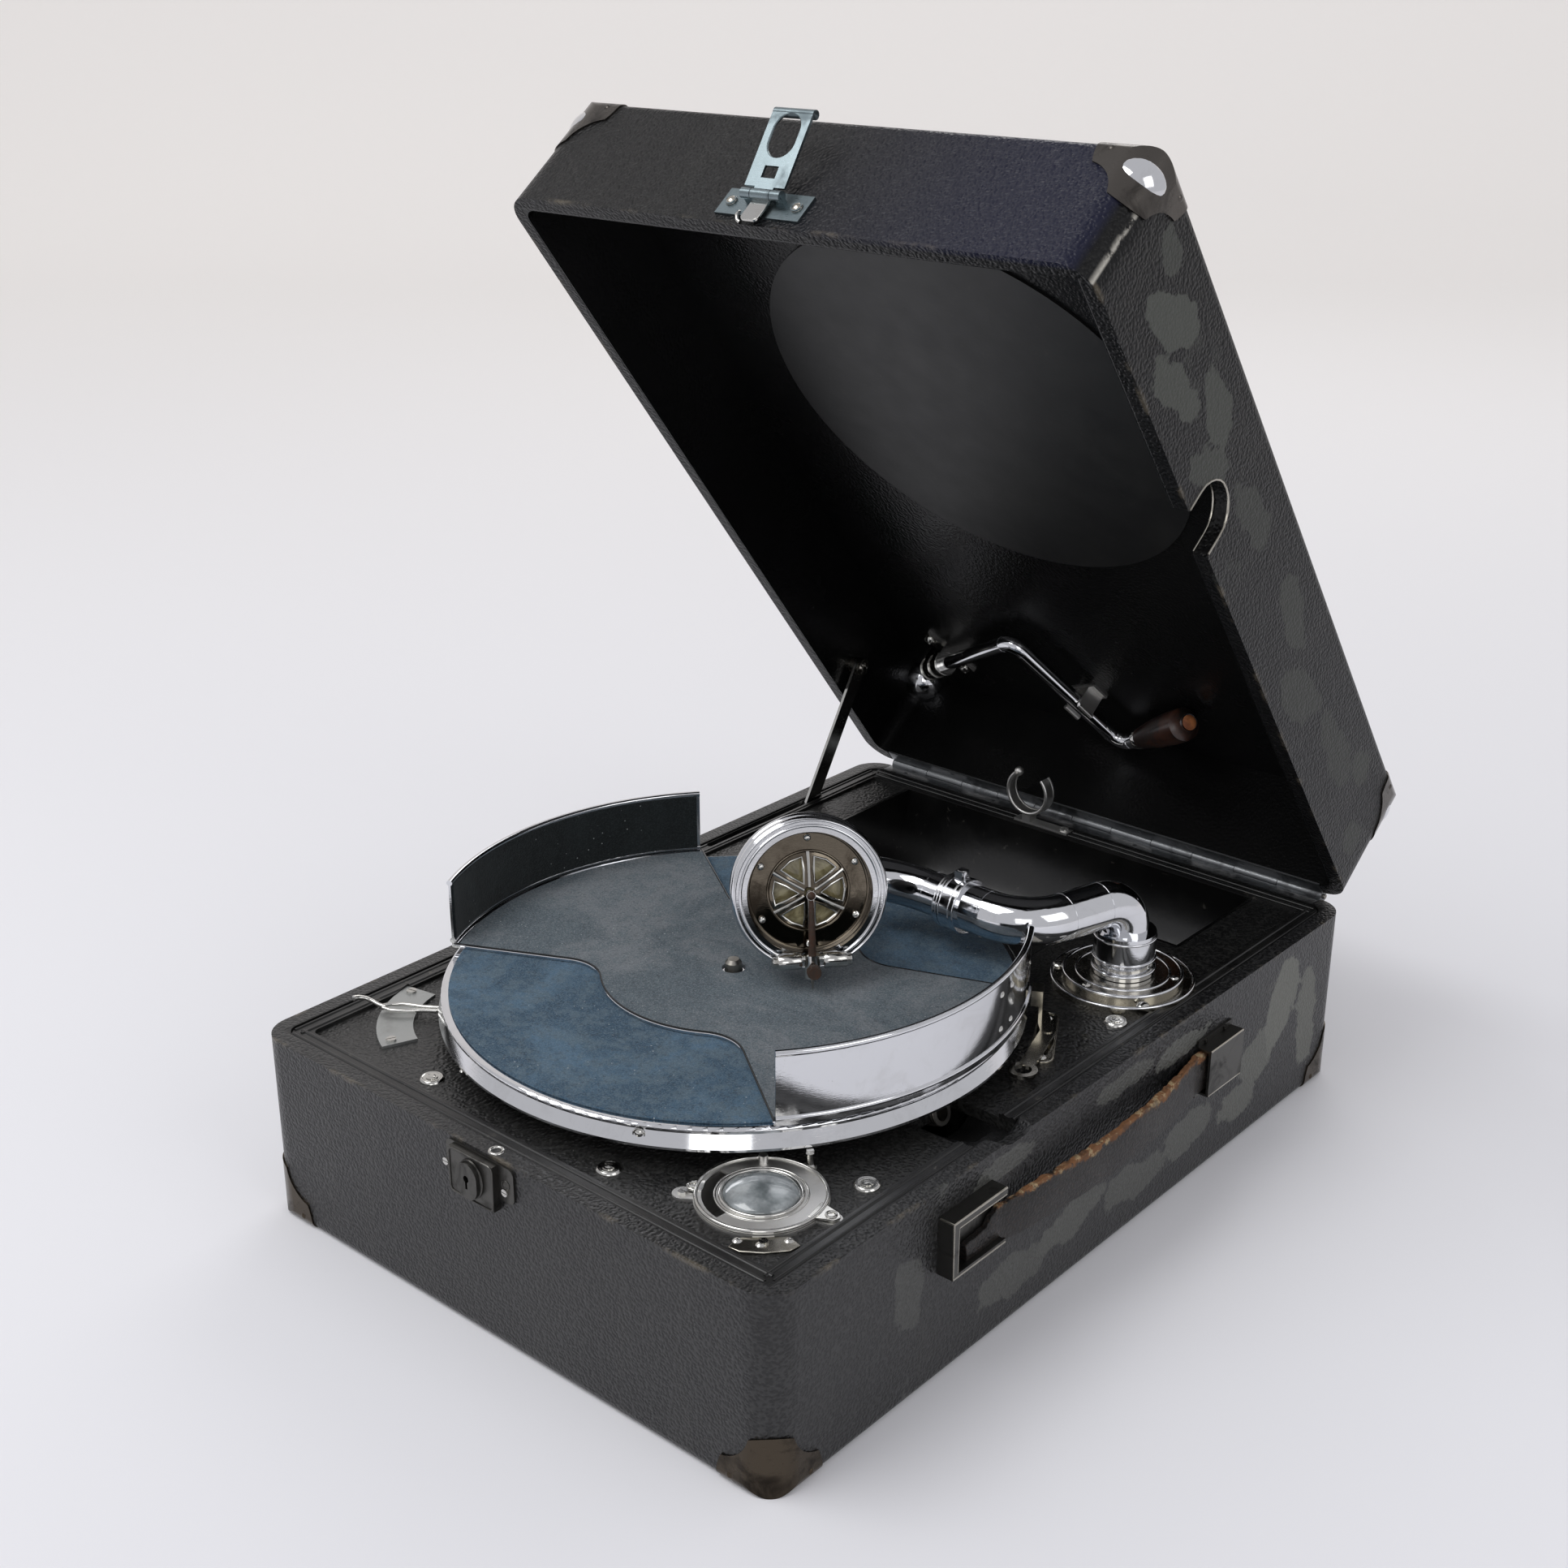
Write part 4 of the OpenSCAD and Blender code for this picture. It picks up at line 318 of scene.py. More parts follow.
def case_material(name, is_lid):
    """Leathercloth, worn to the board in patches on the right side and at the edges; painted inside."""
    m = Mat(name, Roughness=0.42, Specular_IOR_Level=0.2 if is_lid else 0.45)
    pos = shut_coord(m) if is_lid else m.coord
    z0, z1 = (87.3, LID_TOP) if is_lid else (0, 87)
    dx, dy, near, x, y, z = box_sides(m, pos, CASE_W, CASE_D, z0, z1)
    wall = 7 if is_lid else 8
    inside = m.ramp(m.least(dx, dy), (wall - 0.8) * MM, (wall - 0.4) * MM)
    if is_lid:
        inside = m.mul(inside, m.ramp(m.sub(138 * MM, z), -1.2 * MM, -0.6 * MM))
    grain = cloth(m)
    cloud = m.noise(9, 4, 0.6)
    streak = m.noise(70, 3, 0.6, m.mapping(pos, scale=(1, 1, 0.12)))
    low, high, tip = (7, 12, 24) if is_lid else (19, 31, 58)
    base = m.mix(m.ramp(cloud, 0.35, 0.75), rgb(low, low, low + 1), rgb(high, high, high))
    base = m.mix(m.mul(m.ramp(grain, 0.6, 1.0), 0.5), base, rgb(tip, tip, tip))
    base = m.mix(m.mul(m.ramp(streak, 0.5, 0.8), 0.25), base, rgb(50, 49, 46))
    right = m.ramp(x, 142.5 * MM, 144 * MM)
    large = m.sub(m.noise(42, 5, 0.62), 0.5)
    small = m.sub(m.noise(230, 3, 0.6), 0.5)
    wobble = m.add(m.mul(large, 1.9), m.mul(small, 0.5))
    worn = m.mul(patches(m, y, z, LID_SPOTS if is_lid else BASE_SPOTS, wobble), right)
    scrape = m.mul(m.ramp(m.noise(26, 6, 0.7), 0.6, 0.68), 0.25)
    worn = m.most(worn, m.mul(scrape, right))
    base = m.mix(m.mul(worn, 0.9), base, rgb(84, 86, 81) if is_lid else rgb(110, 111, 105))
    rub = m.mul(m.ramp(near, 2.2 * MM, 0.5 * MM), m.ramp(m.noise(55, 5, 0.65), 0.5, 0.66))
    base = m.mix(m.mul(rub, 0.55), base, rgb(104, 96, 82))
    fleck = m.mul(m.ramp(m.cells(120), 0.08, 0.02), m.ramp(m.noise(16, 2), 0.58, 0.7))
    base = m.mix(m.mul(fleck, 0.5), base, rgb(120, 118, 110))
    if is_lid:
        strip = m.mul(m.ramp(m.math("ABSOLUTE", m.sub(y, -201 * MM)), 3.6 * MM, 2.4 * MM), right)
        strip = m.most(strip, m.mul(m.ramp(m.add(dx, dy), 6.6 * MM, 5.2 * MM), m.ramp(x, 120 * MM, 130 * MM)))
        strip = m.mul(strip, m.mul(m.ramp(y, -150 * MM, -190 * MM), m.ramp(z, 128 * MM, 116 * MM)))
        strip = m.mul(strip, m.ramp(m.add(m.noise(90, 5, 0.7), m.mul(m.noise(30, 2), 0.4)), 0.6, 0.72))
        base = m.mix(m.mul(strip, 0.9), base, rgb(196, 192, 182))
        # painted reflection: a dark blue sheen painted on the lid's outer front face, stronger towards the
        # right
        painted_blue_sheen = m.mul(m.ramp(y, -203 * MM, -205.5 * MM), m.ramp(x, -20 * MM, 120 * MM))
        base = m.mix(m.mul(painted_blue_sheen, 0.6), base, rgb(20, 23, 50))
    inner = m.mix(m.ramp(cloud, 0.4, 0.8), rgb(13, 13, 13), rgb(21, 21, 21))
    base = m.mix(inside, base, inner)
    m.to("Base Color", base)
    rough = m.blend(worn, m.add(m.mul(grain, 0.14), 0.24), 0.6)
    m.to("Roughness", m.blend(inside, rough, m.add(0.2 if is_lid else 0.34, m.mul(m.noise(40, 3), 0.12))))
    m.to("Normal", m.bump(m.mul(grain, m.blend(inside, 1.0, 0.3)), 0.85, 0.0005))
    return m.m


def deck_material():
    m = Mat("deck_cloth", Specular_IOR_Level=0.5)
    grain = cloth(m, 0.9)
    base = m.mix(m.ramp(m.noise(14, 4, 0.6), 0.4, 0.75), rgb(17, 17, 17), rgb(30, 30, 29))
    base = m.mix(m.mul(m.ramp(grain, 0.6, 1.1), 0.3), base, rgb(62, 62, 60))
    dust = m.mul(m.ramp(m.cells(420), 0.12, 0.04), m.ramp(m.noise(38, 4, 0.6), 0.54, 0.66))
    base = m.mix(m.mul(dust, 0.5), base, rgb(140, 138, 130))
    m.to("Base Color", base)
    m.to("Roughness", m.add(m.mul(grain, 0.14), 0.24))
    m.to("Normal", m.bump(grain, 0.8, 0.0005))
    return m.m


def paint_material(name, low=12, high=26, rough=0.2, wear=0.3):
    m = Mat(name, Specular_IOR_Level=0.55)
    base = m.mix(m.ramp(m.noise(30, 4, 0.6), 0.4, 0.7), rgb(low, low, low), rgb(high, high, high - 1))
    chips = m.mul(m.ramp(m.noise(160, 5, 0.7), 0.62, 0.7), wear)
    base = m.mix(chips, base, rgb(104, 100, 92))
    m.to("Base Color", base)
    m.to("Roughness", m.add(rough, m.mul(m.noise(90, 3), 0.14), m.mul(chips, 0.3)))
    m.to("Normal", m.bump(m.noise(420, 3, 0.6), 0.12, 0.0003))
    return m.m


def metal_material(name, colour, dirt, rough=0.08, dirty=0.3, pits=0.25, brushed=0.0):
    """Plated metal: cloudy tarnish, pits and fine scratches."""
    m = Mat(name, Metallic=1.0)
    cloud = m.ramp(m.noise(60, 5, 0.65, distort=0.6), 0.48, 0.72)
    spots = m.mul(m.ramp(m.cells(900), 0.2, 0.06), m.ramp(m.noise(130, 3, 0.6), 0.5, 0.68))
    base = m.mix(m.mul(cloud, dirty), colour, dirt)
    base = m.mix(m.mul(spots, pits), base, dirt)
    m.to("Base Color", base)
    fine = m.noise(300, 2, 0.5, m.mapping(m.coord, scale=(1, 1, 14)))
    dull = m.add(m.mul(cloud, 0.22 * dirty + 0.03), m.mul(spots, 0.3), m.mul(fine, 0.05 + brushed))
    m.to("Roughness", m.add(rough, dull))
    m.to("Normal", m.bump(m.add(m.mul(fine, 0.5), m.noise(45, 2)), 0.05 + brushed * 0.3, 0.0004))
    return m.m


def felt_material(name, dark, light, dusty, worn):
    m = Mat(name, Specular_IOR_Level=0.2, Sheen_Weight=0.12, Sheen_Roughness=0.5, Roughness=0.95)
    big = m.noise(22, 6, 0.68, distort=0.7)
    mid = m.noise(110, 6, 0.75)
    fuzz = m.noise(1300, 4, 0.75)
    base = m.mix(m.ramp(big, 0.4, 0.6), dark, light)
    base = m.mix(m.mul(m.ramp(mid, 0.46, 0.6), 0.7), base, worn)
    base = m.mix(m.mul(m.ramp(fuzz, 0.46, 0.62), 0.42), base, dusty)
    base = m.mix(m.mul(m.ramp(m.noise(700, 3, 0.7), 0.52, 0.66), 0.4), base, (0.018, 0.022, 0.026))
    lint = m.mul(m.ramp(m.cells(300), 0.12, 0.05), m.ramp(m.noise(34, 3, 0.6), 0.5, 0.6))
    base = m.mix(m.mul(lint, 0.8), base, rgb(186, 190, 190))
    m.to("Base Color", base)
    m.to("Normal", m.bump(m.add(m.mul(fuzz, 0.8), m.mul(mid, 0.9)), 0.7, 0.0009))
    return m.m


def wood_material():
    m = Mat("knob_wood", Coat_Weight=0.35, Coat_Roughness=0.25)
    ring = m.noise(120, 4, 0.6, m.mapping(m.coord, scale=(1, 0.25, 0.6)), 1.2)
    base = m.mix(m.ramp(ring, 0.4, 0.65), rgb(18, 12, 10), rgb(44, 27, 20))
    bare = m.ramp(m.noise(60, 4, 0.6), 0.52, 0.62)
    base = m.mix(m.mul(bare, 0.25), base, rgb(104, 56, 34))
    m.to("Base Color", base)
    m.to("Roughness", m.add(0.28, m.mul(ring, 0.2)))
    m.to("Normal", m.bump(ring, 0.2, 0.0004))
    return m.m


def strap_material():
    m = Mat("strap_leather", Specular_IOR_Level=0.4)
    grain = cloth(m, 1.2)
    z = m.split(m.coord)[2]
    ragged = m.mul(m.sub(m.noise(95, 5, 0.7), 0.5), 0.012)
    torn = m.ramp(m.add(z, ragged), 64.2 * MM, 65.8 * MM)
    torn = m.mul(torn, m.ramp(m.noise(55, 4, 0.7), 0.36, 0.5, 0.25, 1.0))
    base = m.mix(m.ramp(m.noise(40, 4, 0.6), 0.4, 0.7), rgb(22, 20, 19), rgb(40, 38, 36))
    crack = m.ramp(m.cells(300, m.mapping(m.coord, scale=(1, 0.5, 1.4)), "DISTANCE_TO_EDGE"), 0.05, 0.01)
    base = m.mix(m.mul(crack, 0.35), base, rgb(66, 52, 42))
    raw = m.mix(m.noise(150, 4, 0.6), rgb(70, 46, 30), rgb(142, 98, 62))
    raw = m.mix(m.mul(m.ramp(m.noise(210, 4, 0.7), 0.52, 0.6), 0.6), raw, rgb(176, 158, 122))
    base = m.mix(torn, base, raw)
    m.to("Base Color", base)
    m.to("Roughness", m.blend(torn, m.add(0.3, m.mul(grain, 0.2)), 0.85))
    m.to("Normal", m.bump(m.add(grain, m.mul(torn, m.noise(600, 3, 0.7))), 0.6, 0.0005))
    return m.m


def mica_material():
    m = Mat("mica", Transmission_Weight=0.25, IOR=1.55, Coat_Weight=0.6, Coat_Roughness=0.06)
    flake = m.noise(120, 4, 0.6, distort=1.0)
    m.to("Base Color", m.mix(m.ramp(flake, 0.35, 0.7), rgb(142, 130, 92), rgb(222, 212, 168)))
    m.to("Roughness", m.add(0.12, m.mul(flake, 0.1)))
    m.to("Normal", m.bump(flake, 0.15, 0.0004))
    return m.m


def lens_material():
    """Clear cap over a pale disc."""
    m = Mat("cup_lens_clear", Coat_Weight=1.0, Coat_Roughness=0.04, Specular_IOR_Level=0.6)
    haze = m.noise(90, 4, 0.6)
    m.to("Base Color", m.mix(m.ramp(haze, 0.35, 0.7), rgb(92, 98, 100), rgb(150, 156, 158)))
    m.to("Roughness", m.add(0.12, m.mul(haze, 0.12)))
    m.to("Normal", m.bump(haze, 0.1, 0.0003))
    return m.m


def rust_material():
    m = Mat("rusty_steel")
    rust = m.ramp(m.noise(420, 5, 0.7), 0.38, 0.62)
    m.to("Base Color", m.mix(rust, rgb(70, 60, 53), rgb(62, 40, 28)))
    m.to("Metallic", m.blend(rust, 0.8, 0.05))
    m.to("Roughness", m.blend(rust, 0.4, 0.85))
    m.to("Normal", m.bump(m.noise(900, 4, 0.7), 0.6, 0.0004))
    return m.m


def rubber_material():
    m = Mat("rubber", Roughness=0.6)
    grime = m.noise(90, 4, 0.6)
    m.to("Base Color", m.mix(m.ramp(grime, 0.4, 0.7), rgb(26, 25, 24), rgb(52, 50, 47)))
    m.to("Normal", m.bump(m.noise(700, 3, 0.6), 0.25, 0.0004))
    return m.m


def board_material(name, dark, light, scale):
    """Fibre and bare wood."""
    m = Mat(name, Roughness=0.7)
    weave = m.noise(scale, 4, 0.6)
    m.to("Base Color", m.mix(m.ramp(weave, 0.35, 0.7), dark, light))
    m.to("Normal", m.bump(weave, 0.3, 0.0004))
    return m.m


CHROME = metal_material("chrome_plate", rgb(222, 223, 226), rgb(120, 112, 98), 0.045, 0.12, 0.25)
NICKEL = metal_material("nickel_plate", rgb(176, 172, 162), rgb(78, 68, 54), 0.16, 0.55, 0.5)
HINGED = metal_material("hinge_nickel", rgb(132, 134, 136), rgb(44, 44, 46), 0.26, 0.7, 0.5, 0.04)
SATIN = metal_material("satin_nickel", rgb(224, 223, 220), rgb(156, 150, 138), 0.36, 0.3, 0.3, 0.03)
ZINC = metal_material("regulator_metal", rgb(172, 174, 173), rgb(126, 124, 118), 0.42, 0.4, 0.3, 0.03)
BRIGHT = metal_material("nickel_bright", rgb(198, 197, 193), rgb(104, 96, 82), 0.1, 0.3, 0.35)
CAPS = metal_material("cap_nickel", rgb(80, 72, 62), rgb(27, 23, 20), 0.22, 0.85, 0.7)
LID_CAPS = metal_material("lid_cap_nickel", rgb(92, 88, 84), rgb(28, 26, 25), 0.2, 0.8, 0.6)
STEEL = metal_material("steel", rgb(160, 158, 152), rgb(88, 74, 58), 0.24, 0.45, 0.4, 0.08)
BRASS = metal_material("motor_brass", rgb(178, 146, 84), rgb(96, 74, 42), 0.22, 0.5, 0.3, 0.05)
LOCK = metal_material("lock_metal", rgb(88, 87, 84), rgb(32, 31, 30), 0.3, 0.8, 0.6, 0.05)
BLUED = metal_material("hasp_metal", rgb(128, 140, 144), rgb(58, 66, 70), 0.24, 0.6, 0.4, 0.03)
GUARD = metal_material("guard_metal", rgb(112, 104, 92), rgb(44, 34, 26), 0.05, 0.7, 0.5)
CAST = paint_material("cast_grey", 40, 62, 0.5, 0.2)
LENS = lens_material()
BLACK = paint_material("black_gloss", 10, 22, 0.16, 0.18)
TRIM = paint_material("trim_paint", 14, 34, 0.26, 0.45)
DISC = paint_material("lid_disc_paint", 17, 24, 0.36, 0.08)
DECK = deck_material()
FELT = felt_material("blue_felt", rgb(46, 72, 92), rgb(72, 100, 122), rgb(118, 136, 148), rgb(82, 100, 112))
LINING = felt_material("dark_lining", rgb(20, 25, 26), rgb(32, 38, 39), rgb(56, 62, 63), rgb(26, 32, 33))
TRAY_FELT = felt_material("grey_felt", rgb(72, 84, 92), rgb(106, 112, 117), rgb(148, 154, 158),
                          rgb(84, 96, 103))
BARE = board_material("worn_wood", rgb(120, 66, 36), rgb(190, 120, 72), 160)
WOOD = wood_material()
STRAP = strap_material()
MICA = mica_material()
RUST = rust_material()
RUBBER = rubber_material()
FIBRE = board_material("fibre", rgb(88, 54, 34), rgb(128, 84, 52), 500)
CASE = case_material("case_leathercloth", False)
LID_CLOTH = case_material("lid_leathercloth", True)

NODE_MATERIALS = {
    CASE: "base_case",
    LID_CLOTH: "lid_case",
    DECK: "deck_board",
    TRIM: "deck_trim",
    BLACK: "horn_mouth horn_duct",
    CHROME: "tone_arm gooseneck soundbox_ring record_tray crank turntable",
    BRIGHT: "deck_screws small_screws crank_bracket stylus_bar speed_lever stay_bar",
    SATIN: "arm_clip crank_clip needle_cup needle_cup_cover",
    ZINC: "regulator_plate",
    NICKEL: "brake_plate brake_lever stay_pivot arm_base",
    HINGED: "hinge_base_leaf hinge_lid_leaf",
    CAPS: "base_corner_caps",
    LID_CAPS: "lid_corner_caps",
    LOCK: "lock_body handle_brackets",
    BLUED: "hasp_base hasp",
    STEEL: "hinge_pin spindle mainspring governor_shaft winding_shaft winding_arbor needle",
    BRASS: "spindle_bearing spring_barrel intermediate_gear",
    CAST: "motor_top_plate motor_lower_plate winding_bearing governor_weights stay_guide",
    GUARD: "soundbox_cover",
    DISC: "lid_disc",
    FELT: "turntable_felt",
    TRAY_FELT: "tray_felt",
    WOOD: "crank_knob",
    STRAP: "handle_strap",
    MICA: "diaphragm",
    RUST: "needle_screw",
    RUBBER: "soundbox_back",
    FIBRE: "worm_wheel",
}
for material, names in NODE_MATERIALS.items():
    for name in names.split():
        if name in nodes:
            nodes[name].data.materials.clear()
            nodes[name].data.materials.append(material)


# ---------------------------------------------------------------- mesh making
def piece(name, bm, material, body, matrix=None, smooth=40, bevel=0.0):
    """Makes an object from a bmesh in millimetres and lets it ride."""
    mesh = bpy.data.meshes.new(name)
    if matrix is not None:
        bmesh.ops.transform(bm, matrix=matrix, verts=bm.verts)
    bmesh.ops.scale(bm, vec=(MM, MM, MM), verts=bm.verts)
    bmesh.ops.recalc_face_normals(bm, faces=bm.faces)
    bm.to_mesh(mesh)
    bm.free()
    mesh.materials.append(material)
    o = bpy.data.objects.new(name, mesh)
    bpy.context.scene.collection.objects.link(o)
    if bevel:
        mod = o.modifiers.new("bevel", "BEVEL")
        mod.width = bevel * MM
        mod.segments = 2
        mod.limit_method = "ANGLE"
        mod.angle_limit = math.radians(35)
    for p in mesh.polygons:
        p.use_smooth = True
    mesh.set_sharp_from_angle(angle=math.radians(smooth))
    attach(o, body)
    return o


def lathe(profile, steps=48, arc=360.0, start=0.0):
    """Turns [(r, z)...] about Z. A profile that starts or ends at r = 0 closes itself."""
    bm = bmesh.new()
    full = abs(arc - 360) < 1e-6
    count = steps if full else steps + 1
    rings = []
    for r, z in profile:
        if r < 1e-6:
            rings.append([bm.verts.new((0, 0, z))])
        else:
            rings.append([bm.verts.new((*on_circle(r, start + arc * i / steps), z)) for i in range(count)])
    for a, b in zip(rings, rings[1:]):
        for i in range(steps):
            j = (i + 1) % count if full else i + 1
            if len(a) == 1 and len(b) == 1:
                continue
            if len(a) == 1:
                bm.faces.new((a[0], b[j], b[i]))
            elif len(b) == 1:
                bm.faces.new((a[i], a[j], b[0]))
            else:
                bm.faces.new((a[i], a[j], b[j], b[i]))
    if not full:
        for i in (0, count - 1):
            loop = [r[i] if len(r) > 1 else r[0] for r in rings]
            loop = [v for k, v in enumerate(loop) if k == 0 or v is not loop[k - 1]]
            if len(loop) > 2 and profile[0] == profile[-1]:
                loop = loop[:-1]
            if len(loop) > 2:
                bm.faces.new(loop)
    if profile[0] == profile[-1]:
        bmesh.ops.remove_doubles(bm, verts=bm.verts, dist=1e-5)
    return bm


def prism(points, z0, z1):
    """An upright plate with the outline points."""
    bm = bmesh.new()
    low = [bm.verts.new((x, y, z0)) for x, y in points]
    high = [bm.verts.new((x, y, z1)) for x, y in points]
    n = len(points)
    bm.faces.new(low[::-1])
    bm.faces.new(high)
    for i in range(n):
        j = (i + 1) % n
        bm.faces.new((low[i], low[j], high[j], high[i]))
    return bm


def tube(points, radius, steps=12, closed=False):
    """A round rod along points, in millimetres."""
    bm = bmesh.new()
    pts = [Vector(p) for p in points]
    n = len(pts)
    rings = []
    up = None
    for i, p in enumerate(pts):
        a = pts[i - 1] if (i > 0 or closed) else p
        b = pts[(i + 1) % n] if (i < n - 1 or closed) else p
        t = (b - a).normalized()
        if up is None:
            up = t.orthogonal().normalized()
        up = (up - t * up.dot(t)).normalized()
        side = t.cross(up)
        r = radius[i] if isinstance(radius, (list, tuple)) else radius
        rings.append([bm.verts.new(p + up * r * math.cos(q) + side * r * math.sin(q))
                      for q in (2 * math.pi * k / steps for k in range(steps))])
    pairs = list(zip(rings, rings[1:]))
    if closed:
        pairs.append((rings[-1], rings[0]))
    for a, b in pairs:
        for k in range(steps):
            l = (k + 1) % steps
            bm.faces.new((a[k], a[l], b[l], b[k]))
    if not closed:
        bm.faces.new(rings[0][::-1])
        bm.faces.new(rings[-1])
    return bm


def joined(*parts):
    """One bmesh from several."""
    out = bmesh.new()
    for bm in parts:
        mesh = bpy.data.meshes.new("part")
        bm.to_mesh(mesh)
        bm.free()
        out.from_mesh(mesh)
        bpy.data.meshes.remove(mesh)
    return out


def placed(bm, matrix):
    bmesh.ops.transform(bm, matrix=matrix, verts=bm.verts)
    return bm


def torus(big, small, z, steps=64, around=12):
    wire = [on_circle(small, 360 * i / around) for i in range(around + 1)]
    return lathe([(big + r, z + h) for r, h in wire], steps)


def ring_beads(*beads, around=12):
    """Round beads about Z: each is (radius of the ring, radius of the wire, height)."""
    return joined(*[torus(big, small, z, 64, around) for big, small, z in beads])


def dome(r, h, steps=20, rings=5, skirt=0.0):
    """A low round head standing on z = 0."""
    ball = (r * r + h * h) / (2 * h)
    prof = [(r, -skirt)] if skirt else []
    for i in range(rings + 1):
        a = math.asin(r / ball) * (1 - i / rings)
        prof.append((ball * math.sin(a) if i < rings else 0.0, ball * math.cos(a) - ball + h))
    return lathe([(0.0, prof[0][1])] + prof, steps)


def heads(places, r, h, *shape):
    """Round heads of screws and nails, one at each place."""
    return [placed(dome(r, h, *shape), place) for place in places]


def rimmed_heads(places, r, h, rings, skirt, rim, wire, steps=18):
    """Round heads that stand in a rolled rim."""
    def head():
        return joined(dome(r, h, steps, rings, skirt), torus(rim, wire, 0.1, 18, 8))

    return [placed(head(), place) for place in places]


def rounded_rect(w, d, r, steps=4):
    out = []
    for i, (sx, sy) in enumerate(((1, 1), (-1, 1), (-1, -1), (1, -1))):
        for k in range(steps + 1):
            x, y = on_circle(r, 90 * (i + k / steps))
            out.append((sx * (w / 2 - r) + x, sy * (d / 2 - r) + y))
    return out


# ---------------------------------------------------------------- carrying strap
def strap():
    """The worn leather strap: bowed out, its upper edge torn to the raw hide."""
    y0, y1 = -100.5, 88.0
    n, rows = 150, 10
    inner_face, bow, flat_end, thick = 146.35, 6.6, 22.0, 2.9
    furthest, lower_edge = 156.9, 47.9
    noise = random.Random(11)
    jag = [noise.uniform(-1, 1) for _ in range(n + 1)]

    def top(y, i):
        marks = [(-101, 57.5), (-93, 58.5), (-87, 59.0), (-84, 62.0), (-78, 64.2), (-72, 65.4), (-60, 66.2),
                 (-30, 66.8), (20, 66.9), (60, 67.0), (90, 67.2)]
        for (ya, za), (yb, zb) in zip(marks, marks[1:]):
            if y <= yb:
                z = za + (zb - za) * (y - ya) / (yb - ya)
                break
        soft = 0.5 * jag[i] + 0.3 * jag[max(0, i - 1)] + 0.2 * jag[min(n, i + 1)]
        return min(67.4, z + soft * (0.9 if y < 70 else 0.25))

    def out(y):
        along = abs(y + 6.0) / ((y1 - y0) / 2 - flat_end)
        return inner_face + bow * (1 - along ** 2) ** 0.9 if along < 1 else inner_face

    bm = bmesh.new()
    grid = {}
    for i in range(n + 1):
        y = y0 + (y1 - y0) * i / n
        hi, lo = top(y, i), lower_edge + 0.25 * math.sin(y * 0.11)
        for k in range(rows + 1):
            t = k / rows
            z = lo + (hi - lo) * t
            belly = 0.7 * math.sin(math.pi * t) + 0.12 * math.sin(y * 0.35 + z * 0.9)
            curl = 0.9 * max(0.0, t - 0.8) * 5 * (0.5 + 0.5 * math.sin(y * 0.09 + 1.3)) if y < 60 else 0
            x = out(y)
            grid[i, k, 0] = bm.verts.new((min(x + thick + belly - 0.6 * curl, furthest), y, z))
            grid[i, k, 1] = bm.verts.new((x + 0.15 * curl, y, z))
    for i in range(n):
        for k in range(rows):
            for side in (0, 1):
                bm.faces.new([grid[i + a, k + b, side] for a, b in ((0, 0), (1, 0), (1, 1), (0, 1))])
        for k in (0, rows):
            bm.faces.new((grid[i, k, 0], grid[i, k, 1], grid[i + 1, k, 1], grid[i + 1, k, 0]))
    for i in (0, n):
        for k in range(rows):
            bm.faces.new((grid[i, k, 0], grid[i, k + 1, 0], grid[i, k + 1, 1], grid[i, k, 1]))
    o = piece("strap", bm, STRAP, "base", smooth=50, bevel=0.35)
    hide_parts("handle_strap")


